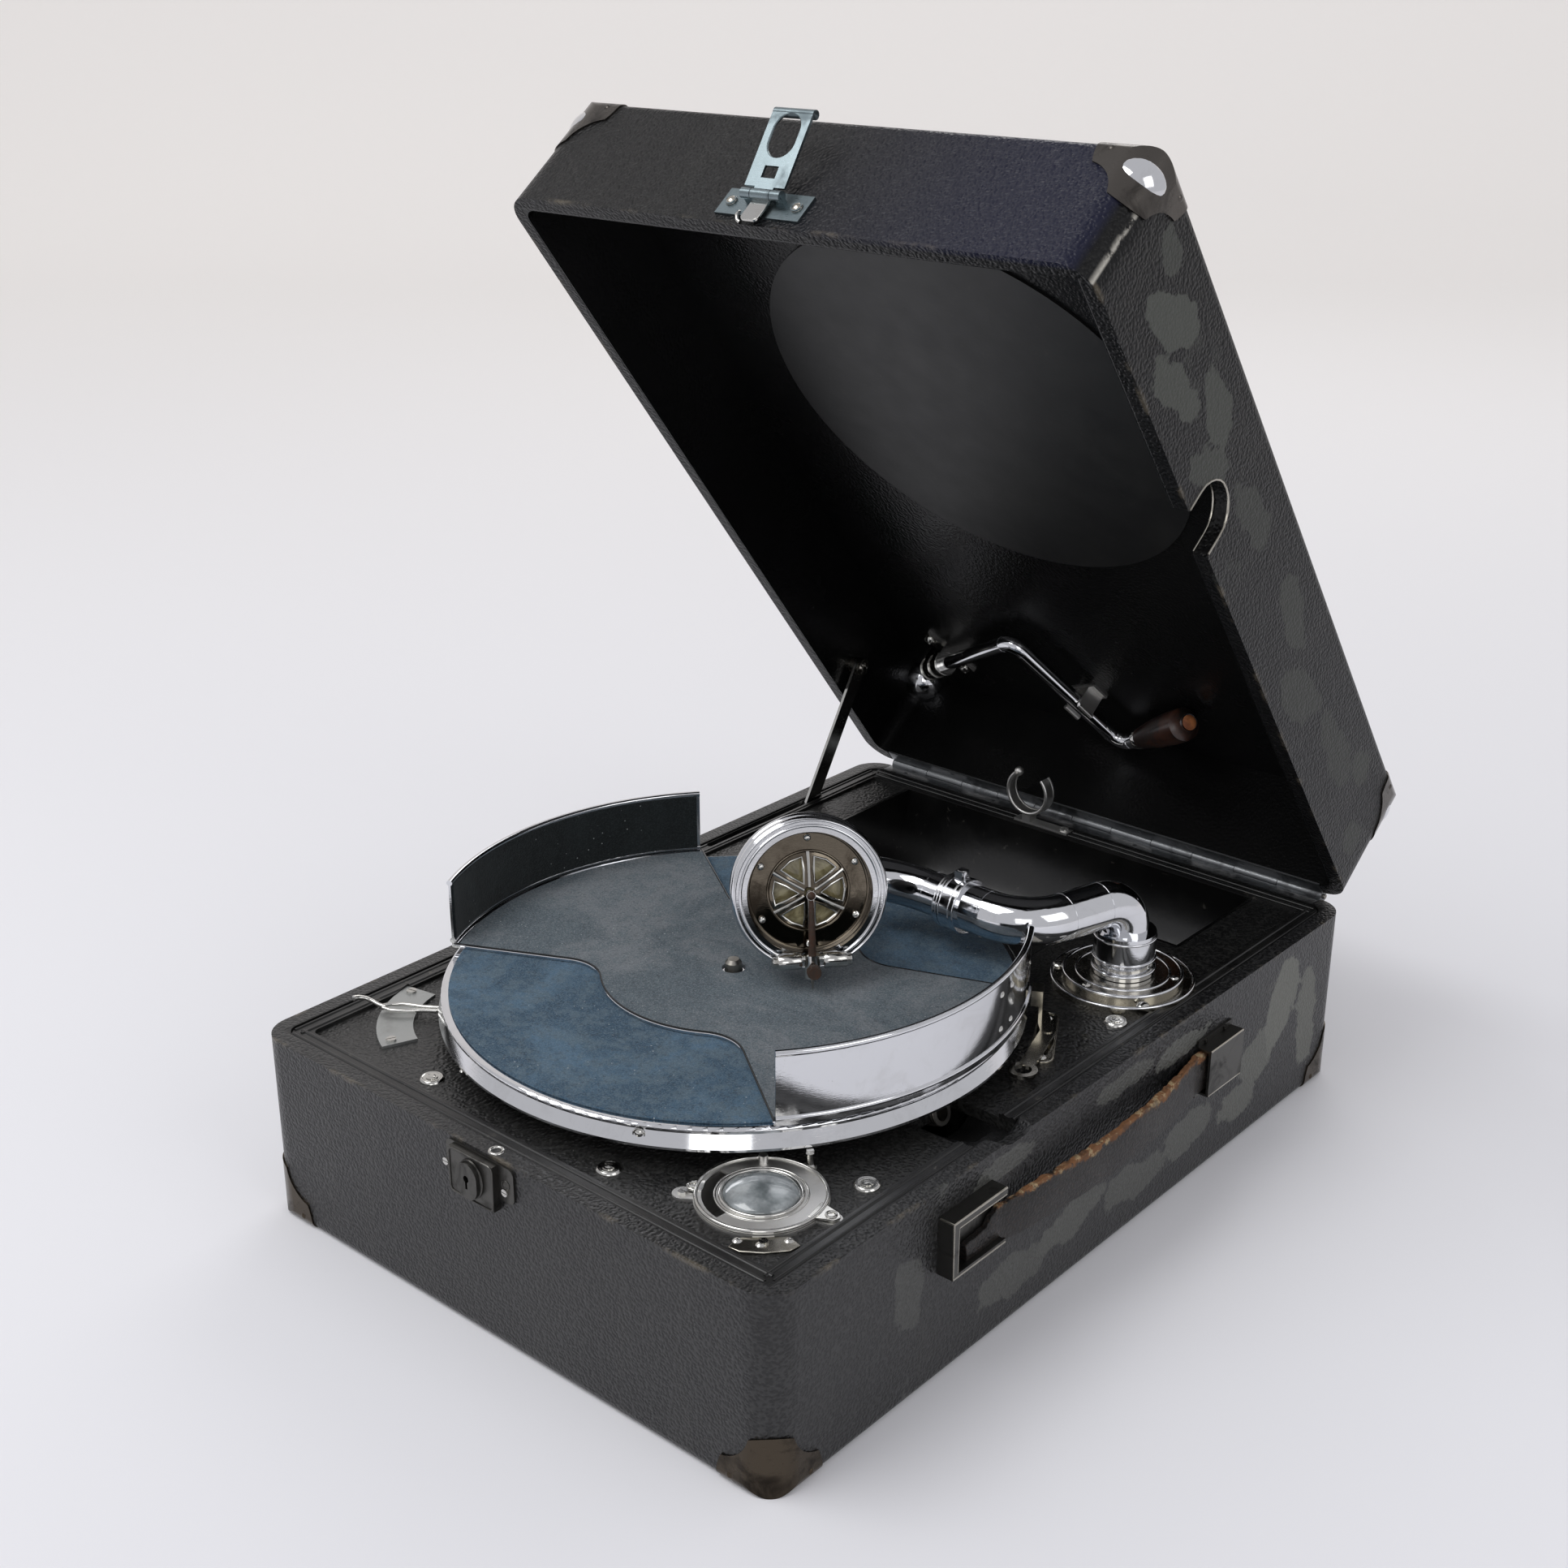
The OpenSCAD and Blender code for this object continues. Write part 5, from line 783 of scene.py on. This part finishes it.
# ---------------------------------------------------------------- sound box
def sound_box_details():
    crown, crown_ball = 16.05, 74.7  # height of the cover's middle, and twice its radius of curvature
    guard = []
    for i in range(6):
        rib = [(*on_circle(r, 60 * i), z) for r, z in ((2.6, 16.0), (7, 15.5), (12, 14.2), (16.8, 12.2))]
        guard.append(tube(rib, [0.7, 0.75, 0.8, 0.9], 8))
        # turned-up rim of each opening
        c, k = on_circle(1, 60 * i + 30)
        loop = []
        for u, v in ((4.6, 0), (9.5, -3.1), (14.2, -5.2), (15.2, 0), (14.2, 5.2), (9.5, 3.1)):
            loop.append((u * c - v * k, u * k + v * c, crown - u * u / crown_ball))
        guard.append(tube(loop, 0.6, 8, closed=True))
    piece("guard_ribs", joined(*guard), BRIGHT, "goose", SOUND)
    piece("guard_step", ring_beads((17.2, 0.6, 12.1), (25.4, 0.7, 12.0)), GUARD, "goose", SOUND)
    screws = heads([shift(*on_circle(22.9, 60 * i), 12.9) for i in range(6)], 1.5, 0.8, 14, 4, 0.3)
    piece("guard_screws", joined(*screws), BRIGHT, "goose", SOUND)
    # second ring behind the front one, and the groove between them
    groove = ring_beads((31.6, 0.55, 18.2), (29.3, 0.7, 18.25))
    piece("sound_ring_groove", groove, CHROME, "goose", SOUND)
    collar = [(0, 0), (2.9, 0), (3.3, 0.5), (3.3, 9.6), (2.9, 10.1), (2.3, 10.3), (2.3, 10.9), (2.6, 11.1),
              (2.6, 11.9), (1.9, 12.5), (0, 12.6)]
    places = [shift(28.4, side * 4.6, 19.8) @ turn("X", -90 * side) for side in (-1, 1)]
    ends = [placed(lathe(collar, 24), place) for place in places]
    piece("pivot_collars", joined(*ends), BRIGHT, "goose", SOUND)
    # rusty stylus bar over the guard
    line = [(27, 0, 19.8), (19, 0, 20.6), (10, 0, 20.4), (3, 0, 20.0), (-1.5, 0, 19.7)]
    knob = placed(dome(2.1, 1.3, 16, 4, 0.4), shift(0, 0, 21.0))
    bar = joined(tube(line, [1.7, 1.5, 1.3, 1.25, 1.1], 10), knob)
    piece("stylus_lever", bar, RUST, "goose", SOUND)
    knurl = [tube([(*on_circle(2.75, 18 * i), z) for z in (22.7, 24.4, 26.2)], 0.28, 6) for i in range(20)]
    knurl.append(torus(2.45, 0.35, 26.35, 24, 8))
    piece("screw_knurl", joined(*knurl), RUST, "clamp_screw", SOUND @ shift(32, 0, 0))
    cup = [(9.75, 4.2), (9.8, 6.2), (12.5, 3.0), (14.2, 2.2), (15.2, 2.6), (15.6, 3.4), (15.6, 4.2)]
    piece("sound_neck_cup", lathe(cup, 40), RUBBER, "goose", SOUND @ shift(0, 0, -2.2))


# ---------------------------------------------------------------- tone arm
def beads_along(big, small, *places):
    """Round beads about X."""
    return joined(*[placed(torus(big, small, 0), shift(x, 0, 0) @ turn("Y", 90)) for x in places])


def arm_details():
    collar, goose = beads_along(11.9, 0.5, 10.6, 13.0, 18.3), beads_along(11.8, 0.45, 0.9, 2.4)
    piece("arm_collar_beads", collar, CHROME, "arm", ARM_END)
    piece("goose_beads", goose, CHROME, "goose", GOOSE)
    lug = lathe([(0, 0), (2.3, 0), (2.3, 3.6), (1.8, 4.3), (0, 4.3)], 20)
    piece("collar_lug", lug, CHROME, "arm", ARM_END @ shift(15, 0, 11.8))
    sleeve = ring_beads((13.6, 0.7, 8.6), (13.75, 0.5, 14.0), (13.6, 0.6, 24.0))
    piece("sleeve_beads", sleeve, CHROME, "arm", ARM_BASE)
    flange = ring_beads((31.2, 0.8, 3.0), (26.0, 0.8, 5.8), (20.6, 0.6, 6.0))
    piece("arm_base_beads", flange, CHROME, "base", ARM_BASE)
    screws = heads([shift(*on_circle(28.8, deg), 3.5) for deg in (80, 200, 320)], 3.0, 1.4, 18, 5, 0.3)
    screws += heads([shift(*on_circle(23.2, deg), 6.0) for deg in (20, 140, 260)], 1.9, 1.0, 16, 4, 0.3)
    piece("arm_base_screws", joined(*screws), BRIGHT, "base", ARM_BASE)


# ---------------------------------------------------------------- deck fittings
def deck_fittings():
    cup = shift(96.5, -157.4, 85.6)
    rims = ring_beads((24.6, 0.85, 1.1), (15.5, 0.8, 1.3), (17.6, 0.45, 1.0))
    piece("cup_cover_rims", rims, BRIGHT, "cup_cover", cup)
    lens = [(0, 5.35), (4, 5.2), (8, 4.55), (11, 3.6), (13.2, 2.6), (14.5, 1.6), (14.5, 1.1), (0, 1.1)]
    piece("cup_lens", lathe(lens, 48), LENS, "cup_cover", cup, smooth=60)
    large_tab, small_tab = turn("Z", 12), turn("Z", 209)
    tabs = [placed(prism([(22, -5), (31.5, -2.4), (33.0, 0.2), (31.2, 2.6), (22, 6)], 0.35, 1.25), large_tab),
            placed(prism([(22, -4), (27.5, -2.6), (29.0, 0), (27.5, 2.6), (22, 4)], 0.35, 1.25), small_tab)]
    piece("cup_tabs", joined(*tabs), BRIGHT, "cup_cover", cup, bevel=0.25)
    eyes = [placed(torus(1.6, 0.5, 1.4, 20, 8), small_tab @ shift(26.2, 0, 0)),
            placed(torus(1.9, 0.5, 1.4, 20, 8), large_tab @ shift(29.2, 0, 0))]
    piece("cup_eyes", joined(*eyes), BRIGHT, "cup_cover", cup)
    post = lathe([(0, 0), (2.3, 0), (2.3, 0.8), (1.6, 1.3), (1.5, 5.4), (1.9, 6.2), (1.6, 7.0), (0, 7.4)], 20)
    piece("cup_post", post, BRIGHT, "base", shift(96.5, -129.9, 85.1))
    foot = prism([(-13, -2.6), (-9, -5.6), (0, -6.6), (9, -5.6), (13, -2.6), (9.5, 3), (-9.5, 3)], 0, 0.9)
    at = shift(116.4, -178.4, DECK_Z) @ turn("Z", 43)
    piece("cup_foot", foot, NICKEL, "base", at, bevel=0.3)
    places = [shift(108.6, -184.2, 85.4), shift(116.6, -180.6, 85.4), shift(122.6, -172.0, 85.4)]
    screws = heads(places, 1.9, 0.9, 16, 4, 0.2) + heads([shift(-57.8, -168.6, 84.6)], 1.5, 0.8, 14, 4, 0.2)
    piece("cup_foot_screws", joined(*screws), BRIGHT, "base")
    # washers and heads of the screws that hold the deck
    for i, (x, y) in enumerate(((-62.3, -181.2), (39.9, -180.7), (120.4, -124.9), (121.5, 42.9))):
        wash = lathe([(5.3, 0), (5.2, 0.5), (4.4, 1.15), (3.5, 1.05), (2.9, 0.55), (2.9, 0.3), (5.3, 0)], 36)
        head = lathe([(0, 1.75), (1.2, 1.65), (2.2, 1.3), (2.6, 0.8), (2.6, 0.4), (0, 0.4)], 28)
        piece("deck_screw_%d" % i, joined(wash, head), BRIGHT, "base", shift(x, y, DECK_Z))
    # speed lever: a flat wire bent into an eye, with a curled tail
    eye = [(30, 1.5, 0), (38, 1.6, 0.1), (43, 2.6, 0.1), (47, 3.2, 0.1), (51, 3.0, 0.1), (54.5, 1.4, 0.2),
           (54.9, -0.6, 0.3), (52, -2.4, 0.2), (47, -2.9, 0.1), (43, -2.4, 0.1), (38, -1.4, 0.1),
           (30, -1.4, 0)]
    tail = [(53.6, 0.6, 0.2), (57, -0.6, 0.6), (60, -2.0, 1.4), (63, -2.6, 2.4), (66, -1.6, 3.2),
            (67.6, 0.2, 3.6)]
    lever = joined(prism([(3, -3), (31, -2.4), (31, 2.4), (3, 3)], -0.7, 0.7), tube(eye, 0.95, 10),
                   tube(tail, [0.95, 0.95, 0.95, 1.0, 1.15, 1.3], 10),
                   lathe([(0, -11.8), (3, -11.8), (3, -1), (3.4, -0.7), (3.4, 0.8), (0, 1.2)], 24))
    at = shift(-76, -127, 88.0) @ turn("Z", -144.5)
    o = piece("speed_lever_wire", lever, BRIGHT, "regulator", at)
    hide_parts("speed_lever")
    # brake: raised edges of its plate, and its two screws
    at = PLATTER @ turn("Z", 30.3) @ shift(134, 0, DECK_Z)
    edge = []
    for side, start in ((1, 0), (-1, 180)):
        for i in range(10):
            x, y = on_circle(4.4, start + 20 * i)
            edge.append((x, side * 17 + y, 1.6))
    piece("brake_plate_rim", tube(edge, 0.45, 8, closed=True), NICKEL, "base", at)
    screws = heads([shift(-0.2, side * 17, 1.6) for side in (-1, 1)], 2.2, 1.1, 16, 4, 0.2)
    piece("brake_screws", joined(*screws), BRIGHT, "base", at)


# ---------------------------------------------------------------- turntable, tray, motor
def on_rim(r, deg, z):
    """A place on the platter's side, with Z pointing outward."""
    return PLATTER @ turn("Z", deg) @ shift(r, 0, z) @ turn("Y", 90)


def turntable_details():
    places = [on_rim(124.2, 90 * i - 64.4, 97.4) for i in range(4)]
    screws = rimmed_heads(places, 2.0, 0.9, 5, 0.4, 2.3, 0.35)
    piece("rim_screws", joined(*screws), BRIGHT, "platter")
    tip = [(0, 110.35), (1.6, 110.2), (2.6, 109.6), (3.2, 108.9), (3.64, 108.6), (3.64, 107.6), (0, 107.6)]
    piece("spindle_cap", lathe(tip, 28), STEEL, "platter", PLATTER)
    piece("felt_edge", torus(120.8, 0.55, 103.15, 120, 8), FELT, "platter", PLATTER)
    places = [on_rim(126.4, deg, z) for deg in (14.5, 10.0) for z in (112.0, 127.5)]
    rivets = heads(places, 1.7, 0.8, 16, 4, 0.2)
    piece("tray_rivets", joined(*rivets), BRIGHT, "tray")


def unit(angle):
    return Vector((math.cos(angle), math.sin(angle)))


def arc_points(centre, r, start, end, steps):
    """Points of the shorter arc from one angle to another."""
    sweep = (end - start + math.pi) % (2 * math.pi) - math.pi
    return [centre + r * unit(start + sweep * i / steps) for i in range(steps + 1)]


def tray_edges():
    """Dark bound edges of the tray's wings, from the rim round the hollow bends to the centre."""
    hub, hollow, rim = 57.0, 20.0, 125.4
    wings = []
    for heading, off, side in ((-35.7, 11, -1), (21, 24, 1), (206, 9.8, 1), (146, 14.3, -1)):
        a = math.radians(heading)
        u, n = unit(a), unit(a + side * math.pi / 2)
        centre = n * (off + hollow) + u * math.sqrt((hub + hollow) ** 2 - (off + hollow) ** 2)
        curve = arc_points(centre, hollow, math.atan2(-n.y, -n.x), math.atan2(-centre.y, -centre.x), 12)
        wings.append(([n * off + u * math.sqrt(rim ** 2 - off ** 2)] + curve, math.atan2(centre.y, centre.x)))
    lines = [wing[0] for wing in wings]
    for a, b in ((2, 0), (1, 3)):
        lines.append(arc_points(Vector((0, 0)), hub, wings[a][1], wings[b][1], 40))
    for shade, z, r, material in (("dark", 105.95, 0.4, BLACK), ("bright", 105.2, 0.42, CHROME)):
        edges = [tube([(q.x, q.y, z) for q in pts], r, 8) for pts in lines]
        piece("tray_edge_" + shade, joined(*edges), material, "tray", PLATTER)
    # cloth lining of the two walls
    wall = [(124.8, 106.1), (125.4, 106.1), (125.4, 133.6), (124.8, 133.6), (124.8, 106.1)]
    cloths = [lathe(wall, 60, 69, 140.4), lathe(wall, 60, 71, -40)]
    piece("tray_lining", joined(*cloths), LINING, "tray", PLATTER)


def motor_details():
    thread = [(*on_circle(5.15, 18 * i), 53.5 + 1.35 * i / 20) for i in range(140)]
    piece("socket_thread", tube(thread, 0.4, 6), STEEL, "winding", WINDING)
    hexagon = [on_circle(4.6, 60 * i) for i in range(6)]
    nuts = [placed(prism(hexagon, 0, 2.6), shift(x, y, 19.4)) for x in (-42, 86) for y in (-118, -22)]
    piece("motor_nuts", joined(*nuts), STEEL, "base", bevel=0.3)
    lips = ring_beads((35.0, 0.6, 27.3), (35.0, 0.6, 49.8), around=8)
    piece("barrel_lips", lips, BRASS, "barrel", shift(48, -62, 0))


# ---------------------------------------------------------------- case fittings
def clip_details():
    """Rolled edges of the spring clip at the back rim."""
    bow = [on_circle(11.75, 130 + 275 * i / 40) for i in range(41)]
    edges = [tube([(-30 + x, 194.5 + side, 103.1 + z) for x, z in bow], 0.95, 10) for side in (-3, 3)]
    piece("clip_edges", joined(*edges), SATIN, "base")


def lock_details():
    front = shift(-6, -210.1, 75) @ turn("X", 90)
    ring = [(6.3 * x, 7.9 * y, 0.2) for x, y in (on_circle(1, 360 * i / 28) for i in range(28))]
    piece("lock_rim", tube(ring, 0.7, 8, closed=True), LOCK, "base", front)
    box = [(x, y, 0.05) for x, y in rounded_rect(24.6, 19.6, 2.2)]
    piece("lock_box_edge", tube(box, 0.5, 8, closed=True), LOCK, "base", front)
    places = [shift(x, -207.5, 78) @ turn("X", 90) for x in (-20.7, 11)]
    rivets = rimmed_heads(places, 2.0, 0.9, 4, 0.2, 2.0, 0.3, 16)
    piece("lock_rivets", joined(*rivets), LOCK, "base")
    # bright worn edges of the strap's brackets
    x, y0, y1, z0, z1 = 152.3, -112.7, -79.3, 50.3, 74.7
    rims = [tube([(x, y1, z1), (x, y0, z1), (x, y0, z0), (x, y1, z0)], 0.55, 8)]
    rims.append(tube([(146, y0, z1), (x, y0, z1)], 0.5, 8))
    rims.append(tube([(x, -109.6, z0 + 1.6), (x, -109.6, z1 - 2.9), (x, y1, z1 - 2.9)], 0.35, 8))
    rims += [tube([(x, 72.3, z), (x, 99.7, z)], 0.45, 8) for z in (46.6, 68.4)]
    piece("bracket_edges", joined(*rims), NICKEL, "base")
    eyelet = torus(2.6, 0.8, 0.5, 24, 10)
    piece("rim_eyelet", eyelet, BRIGHT, "base", shift(1.0, -202.6, 86.2))


def hasp_details():
    rim = []
    for i in range(28):
        x, z = on_circle(7.0, 360 * (i + 0.5) / 28)
        rim.append((x, 0, z - 24 + math.copysign(2.5, z)))
    piece("hasp_hole_rim", tube(rim, 0.55, 8, closed=True), BLUED, "hasp_plate", HASP)
    roll = tube([(x, -1.2, -34) for x in (-10, -5, 0, 5, 10)], 1.95, 14)
    piece("hasp_roll", roll, BLUED, "hasp_plate", HASP)
    tongue = prism(rounded_rect(8.6, 15, 2.0), -0.5, 0.7)
    at = LID @ shift(-6, -209.3, 94.5) @ turn("X", 90)
    piece("hasp_tongue", tongue, BRIGHT, "lid", at, bevel=0.25)
    screws = heads([shift(x, -207.9, 97.5) @ turn("X", 90) for x in (-22.5, 10.5)], 2.5, 1.2, 18, 4, 0.2)
    piece("hasp_screws", joined(*screws), NICKEL, "lid", LID)
    hook = [(0, 0, 0), (0, -1.4, -1.2), (0.4, -1.8, -3.2), (1.6, -1.2, -5.0), (3.2, -0.8, -5.6)]
    piece("rim_hook", tube(hook, 0.8, 10), BRIGHT, "lid", LID @ shift(-15, -206.2, 93.5))


def lid_details():
    # bright edging of the notch for the winding handle, on both faces of the wall
    y, r, bottom, spring = -66.5, 13.2, 88.2, 97.6
    outline = [(y - r, bottom), (y - r, 92), (y - r, spring)]
    for i in range(1, 12):
        across, up = on_circle(r, 15 * i)
        outline.append((y - across, spring + 0.2 + up))
    outline += [(y + r, spring), (y + r, 92), (y + r, bottom)]
    for name, x, thick in (("notch_edge", 144.9, 0.5), ("notch_edge_inner", 138.2, 0.45)):
        edge = tube([(x, across, up) for across, up in outline], thick, 8)
        piece(name, edge, NICKEL, "lid", LID)
    places = [shift(9, side * 12.5, 7.3) @ turn("X", 180) for side in (-1, 1)]
    screws = rimmed_heads(places, 2.5, 1.4, 5, 0.3, 2.9, 0.4)
    piece("bracket_screws", joined(*screws), BRIGHT, "lid", CRANK)
    piece("bracket_lips", beads_along(6.2, 0.6, -1.5, 7, 15.5), BRIGHT, "lid", CRANK)
    at = CRANK_ARM @ shift(53.1, 20, 7.4) @ turn("X", 180)
    piece("clip_screw", dome(2.5, 1.2, 18, 5, 0.3), BRIGHT, "lid", at)
    # ferrule and worn end of the knob
    ferrule = lathe([(4.1, 0), (5.2, 0.4), (5.4, 2.2), (4.6, 3.6), (4.1, 3.8), (4.1, 0)], 32)
    at = KNOB @ shift(16.4, 0, 0) @ turn("Y", 90)
    piece("knob_ferrule", ferrule, BRIGHT, "handle_crank", at)
    cap = lathe([(0, 2.2), (1.6, 2.0), (3.0, 1.4), (3.9, 0.4), (4.2, -0.4), (0, -0.4)], 28)
    piece("knob_cap", cap, BARE, "handle_crank", KNOB @ shift(66.6, 0, 0) @ turn("Y", 90))
    at = LID @ shift(-131.6, 142, 103.5) @ turn("Y", 90)
    piece("stay_rivet", dome(3.6, 1.3, 20, 5, 0.2), NICKEL, "lid", at)


def cap_details():
    """Nail heads of the corner caps, and the lid caps' bright balls."""
    corners = [(sx, sy) for sx in (-1, 1) for sy in (-1, 1)]
    meridian = [(0, -11.6)] + [on_circle(11.6, 7.5 * i - 90) for i in range(1, 24)] + [(0, 11.6)]
    inset = 11
    balls = []
    for sx, sy in corners:
        at = LID @ shift(sx * (CASE_W / 2 - inset), sy * (CASE_D / 2 - inset), LID_TOP - inset)
        balls.append(placed(lathe(meridian, 40), at))
    piece("cap_balls", joined(*balls), CHROME, "lid")
    rows = (("base", 0, 1, Matrix(), CAPS), ("lid", LID_TOP, -1, LID, LID_CAPS))
    for body, z, up, place, material in rows:
        places = []
        for sx, sy in corners:
            x, y = sx * CASE_W / 2, sy * CASE_D / 2
            places.append(shift(x + sx * 0.6, y - sy * 20.5, z + up * 4.2) @ turn("Y", 90 * sx))
            places.append(shift(x - sx * 20.5, y + sy * 0.6, z + up * 4.2) @ turn("X", -90 * sy))
            if body == "lid":
                places.append(shift(x - sx * 12.5, y - sy * 4.4, z + 0.55))
                places.append(shift(x - sx * 4.4, y - sy * 12.5, z + 0.55))
        nails = heads(places, 1.5, 0.7, 14, 4, 0.2)
        piece("cap_nails_" + body, joined(*nails), material, body, place)


def hinge_details():
    row = [-118 + 29.5 * i for i in range(9)]
    screws = heads([shift(x, 202.6, 86.9) for x in row], 1.6, 0.5, 14, 3, 0.2)
    piece("hinge_screws", joined(*screws), HINGED, "base")
    screws = heads([LID @ shift(x, 202.6, 87.4) @ turn("X", 180) for x in row], 1.6, 0.5, 14, 3, 0.2)
    piece("hinge_screws_lid", joined(*screws), HINGED, "lid")


for make in (strap, sound_box_details, arm_details, deck_fittings, turntable_details, tray_edges,
             motor_details, clip_details, lock_details, hasp_details, lid_details, cap_details, hinge_details):
    make()


# ---------------------------------------------------------------- stage
def floor_material():
    """Pale floor that fades to a warm white far away and glows only for camera, mirror and glass."""
    m = Mat("floor_pale", Roughness=0.75, Specular_IOR_Level=0.2)
    x, y = m.split(m.coord)[:2]
    far = m.ramp(m.add(m.mul(y, 0.75), m.mul(x, -0.66)), -0.3, 3.0)
    m.to("Base Color", m.mix(far, rgb(224, 224, 228), rgb(231, 228, 225)))
    path = m.t.nodes.new("ShaderNodeLightPath")
    seen = m.most(path.outputs["Is Glossy Ray"], path.outputs["Is Transmission Ray"])
    seen = m.most(path.outputs["Is Camera Ray"], seen)
    away = m.vec("LENGTH", m.coord)
    m.to("Emission Color", (*rgb(236, 232, 229), 1))
    m.to("Emission Strength", m.mul(seen, m.ramp(away, 0.25, 3.2, 0.03, 0.3)))
    return m.m


def stage():
    # a floor that curves up behind the object into a wall square to the camera's heading, in metres
    near, far, cove, wall, half_width, steps = -3.0, 2.4, 1.2, 5.0, 6, 24
    profile = [(near, 0.0), (far, 0.0)]
    for i in range(1, steps + 1):
        x, y = on_circle(cove, 90 * i / steps)
        profile.append((far + y, cove - x))
    profile.append((far + cove, wall))
    yaw = math.radians(CAMERA_YAW)
    u = Vector((math.cos(yaw), math.sin(yaw), 0))
    v = Vector((-math.sin(yaw), math.cos(yaw), 0))
    bm = bmesh.new()
    rows = []
    for back, h in profile:
        rows.append([bm.verts.new(u * side * half_width + v * back + Vector((0, 0, h))) for side in (-1, 1)])
    for a, b in zip(rows, rows[1:]):
        bm.faces.new((a[0], a[1], b[1], b[0]))
    mesh = bpy.data.meshes.new("floor")
    bm.to_mesh(mesh)
    bm.free()
    for p in mesh.polygons:
        p.use_smooth = True
    mesh.materials.append(floor_material())
    floor = bpy.data.objects.new("floor", mesh)
    bpy.context.scene.collection.objects.link(floor)

    world = bpy.data.worlds.new("world")
    bpy.context.scene.world = world
    world.use_nodes = True
    sky = world.node_tree.nodes["Background"]
    sky.inputs["Color"].default_value = (*rgb(226, 226, 230), 1)
    sky.inputs["Strength"].default_value = 0.75
    area_light("key", (-0.6, -1.0, 1.9), 0.15, (1.5, 1.1), 21)
    area_light("fill", (1.7, -0.2, 1.2), 0.2, (1.0, 1.0), 4.5)
    area_light("front", (1.1, -1.5, 0.9), 0.15, (0.7, 0.7), 3)
    area_light("rim", (-0.6, 1.6, 1.6), 0.2, (1.4, 0.8), 8)


camera()
stage()
bpy.context.scene.view_settings.view_transform = "Standard"
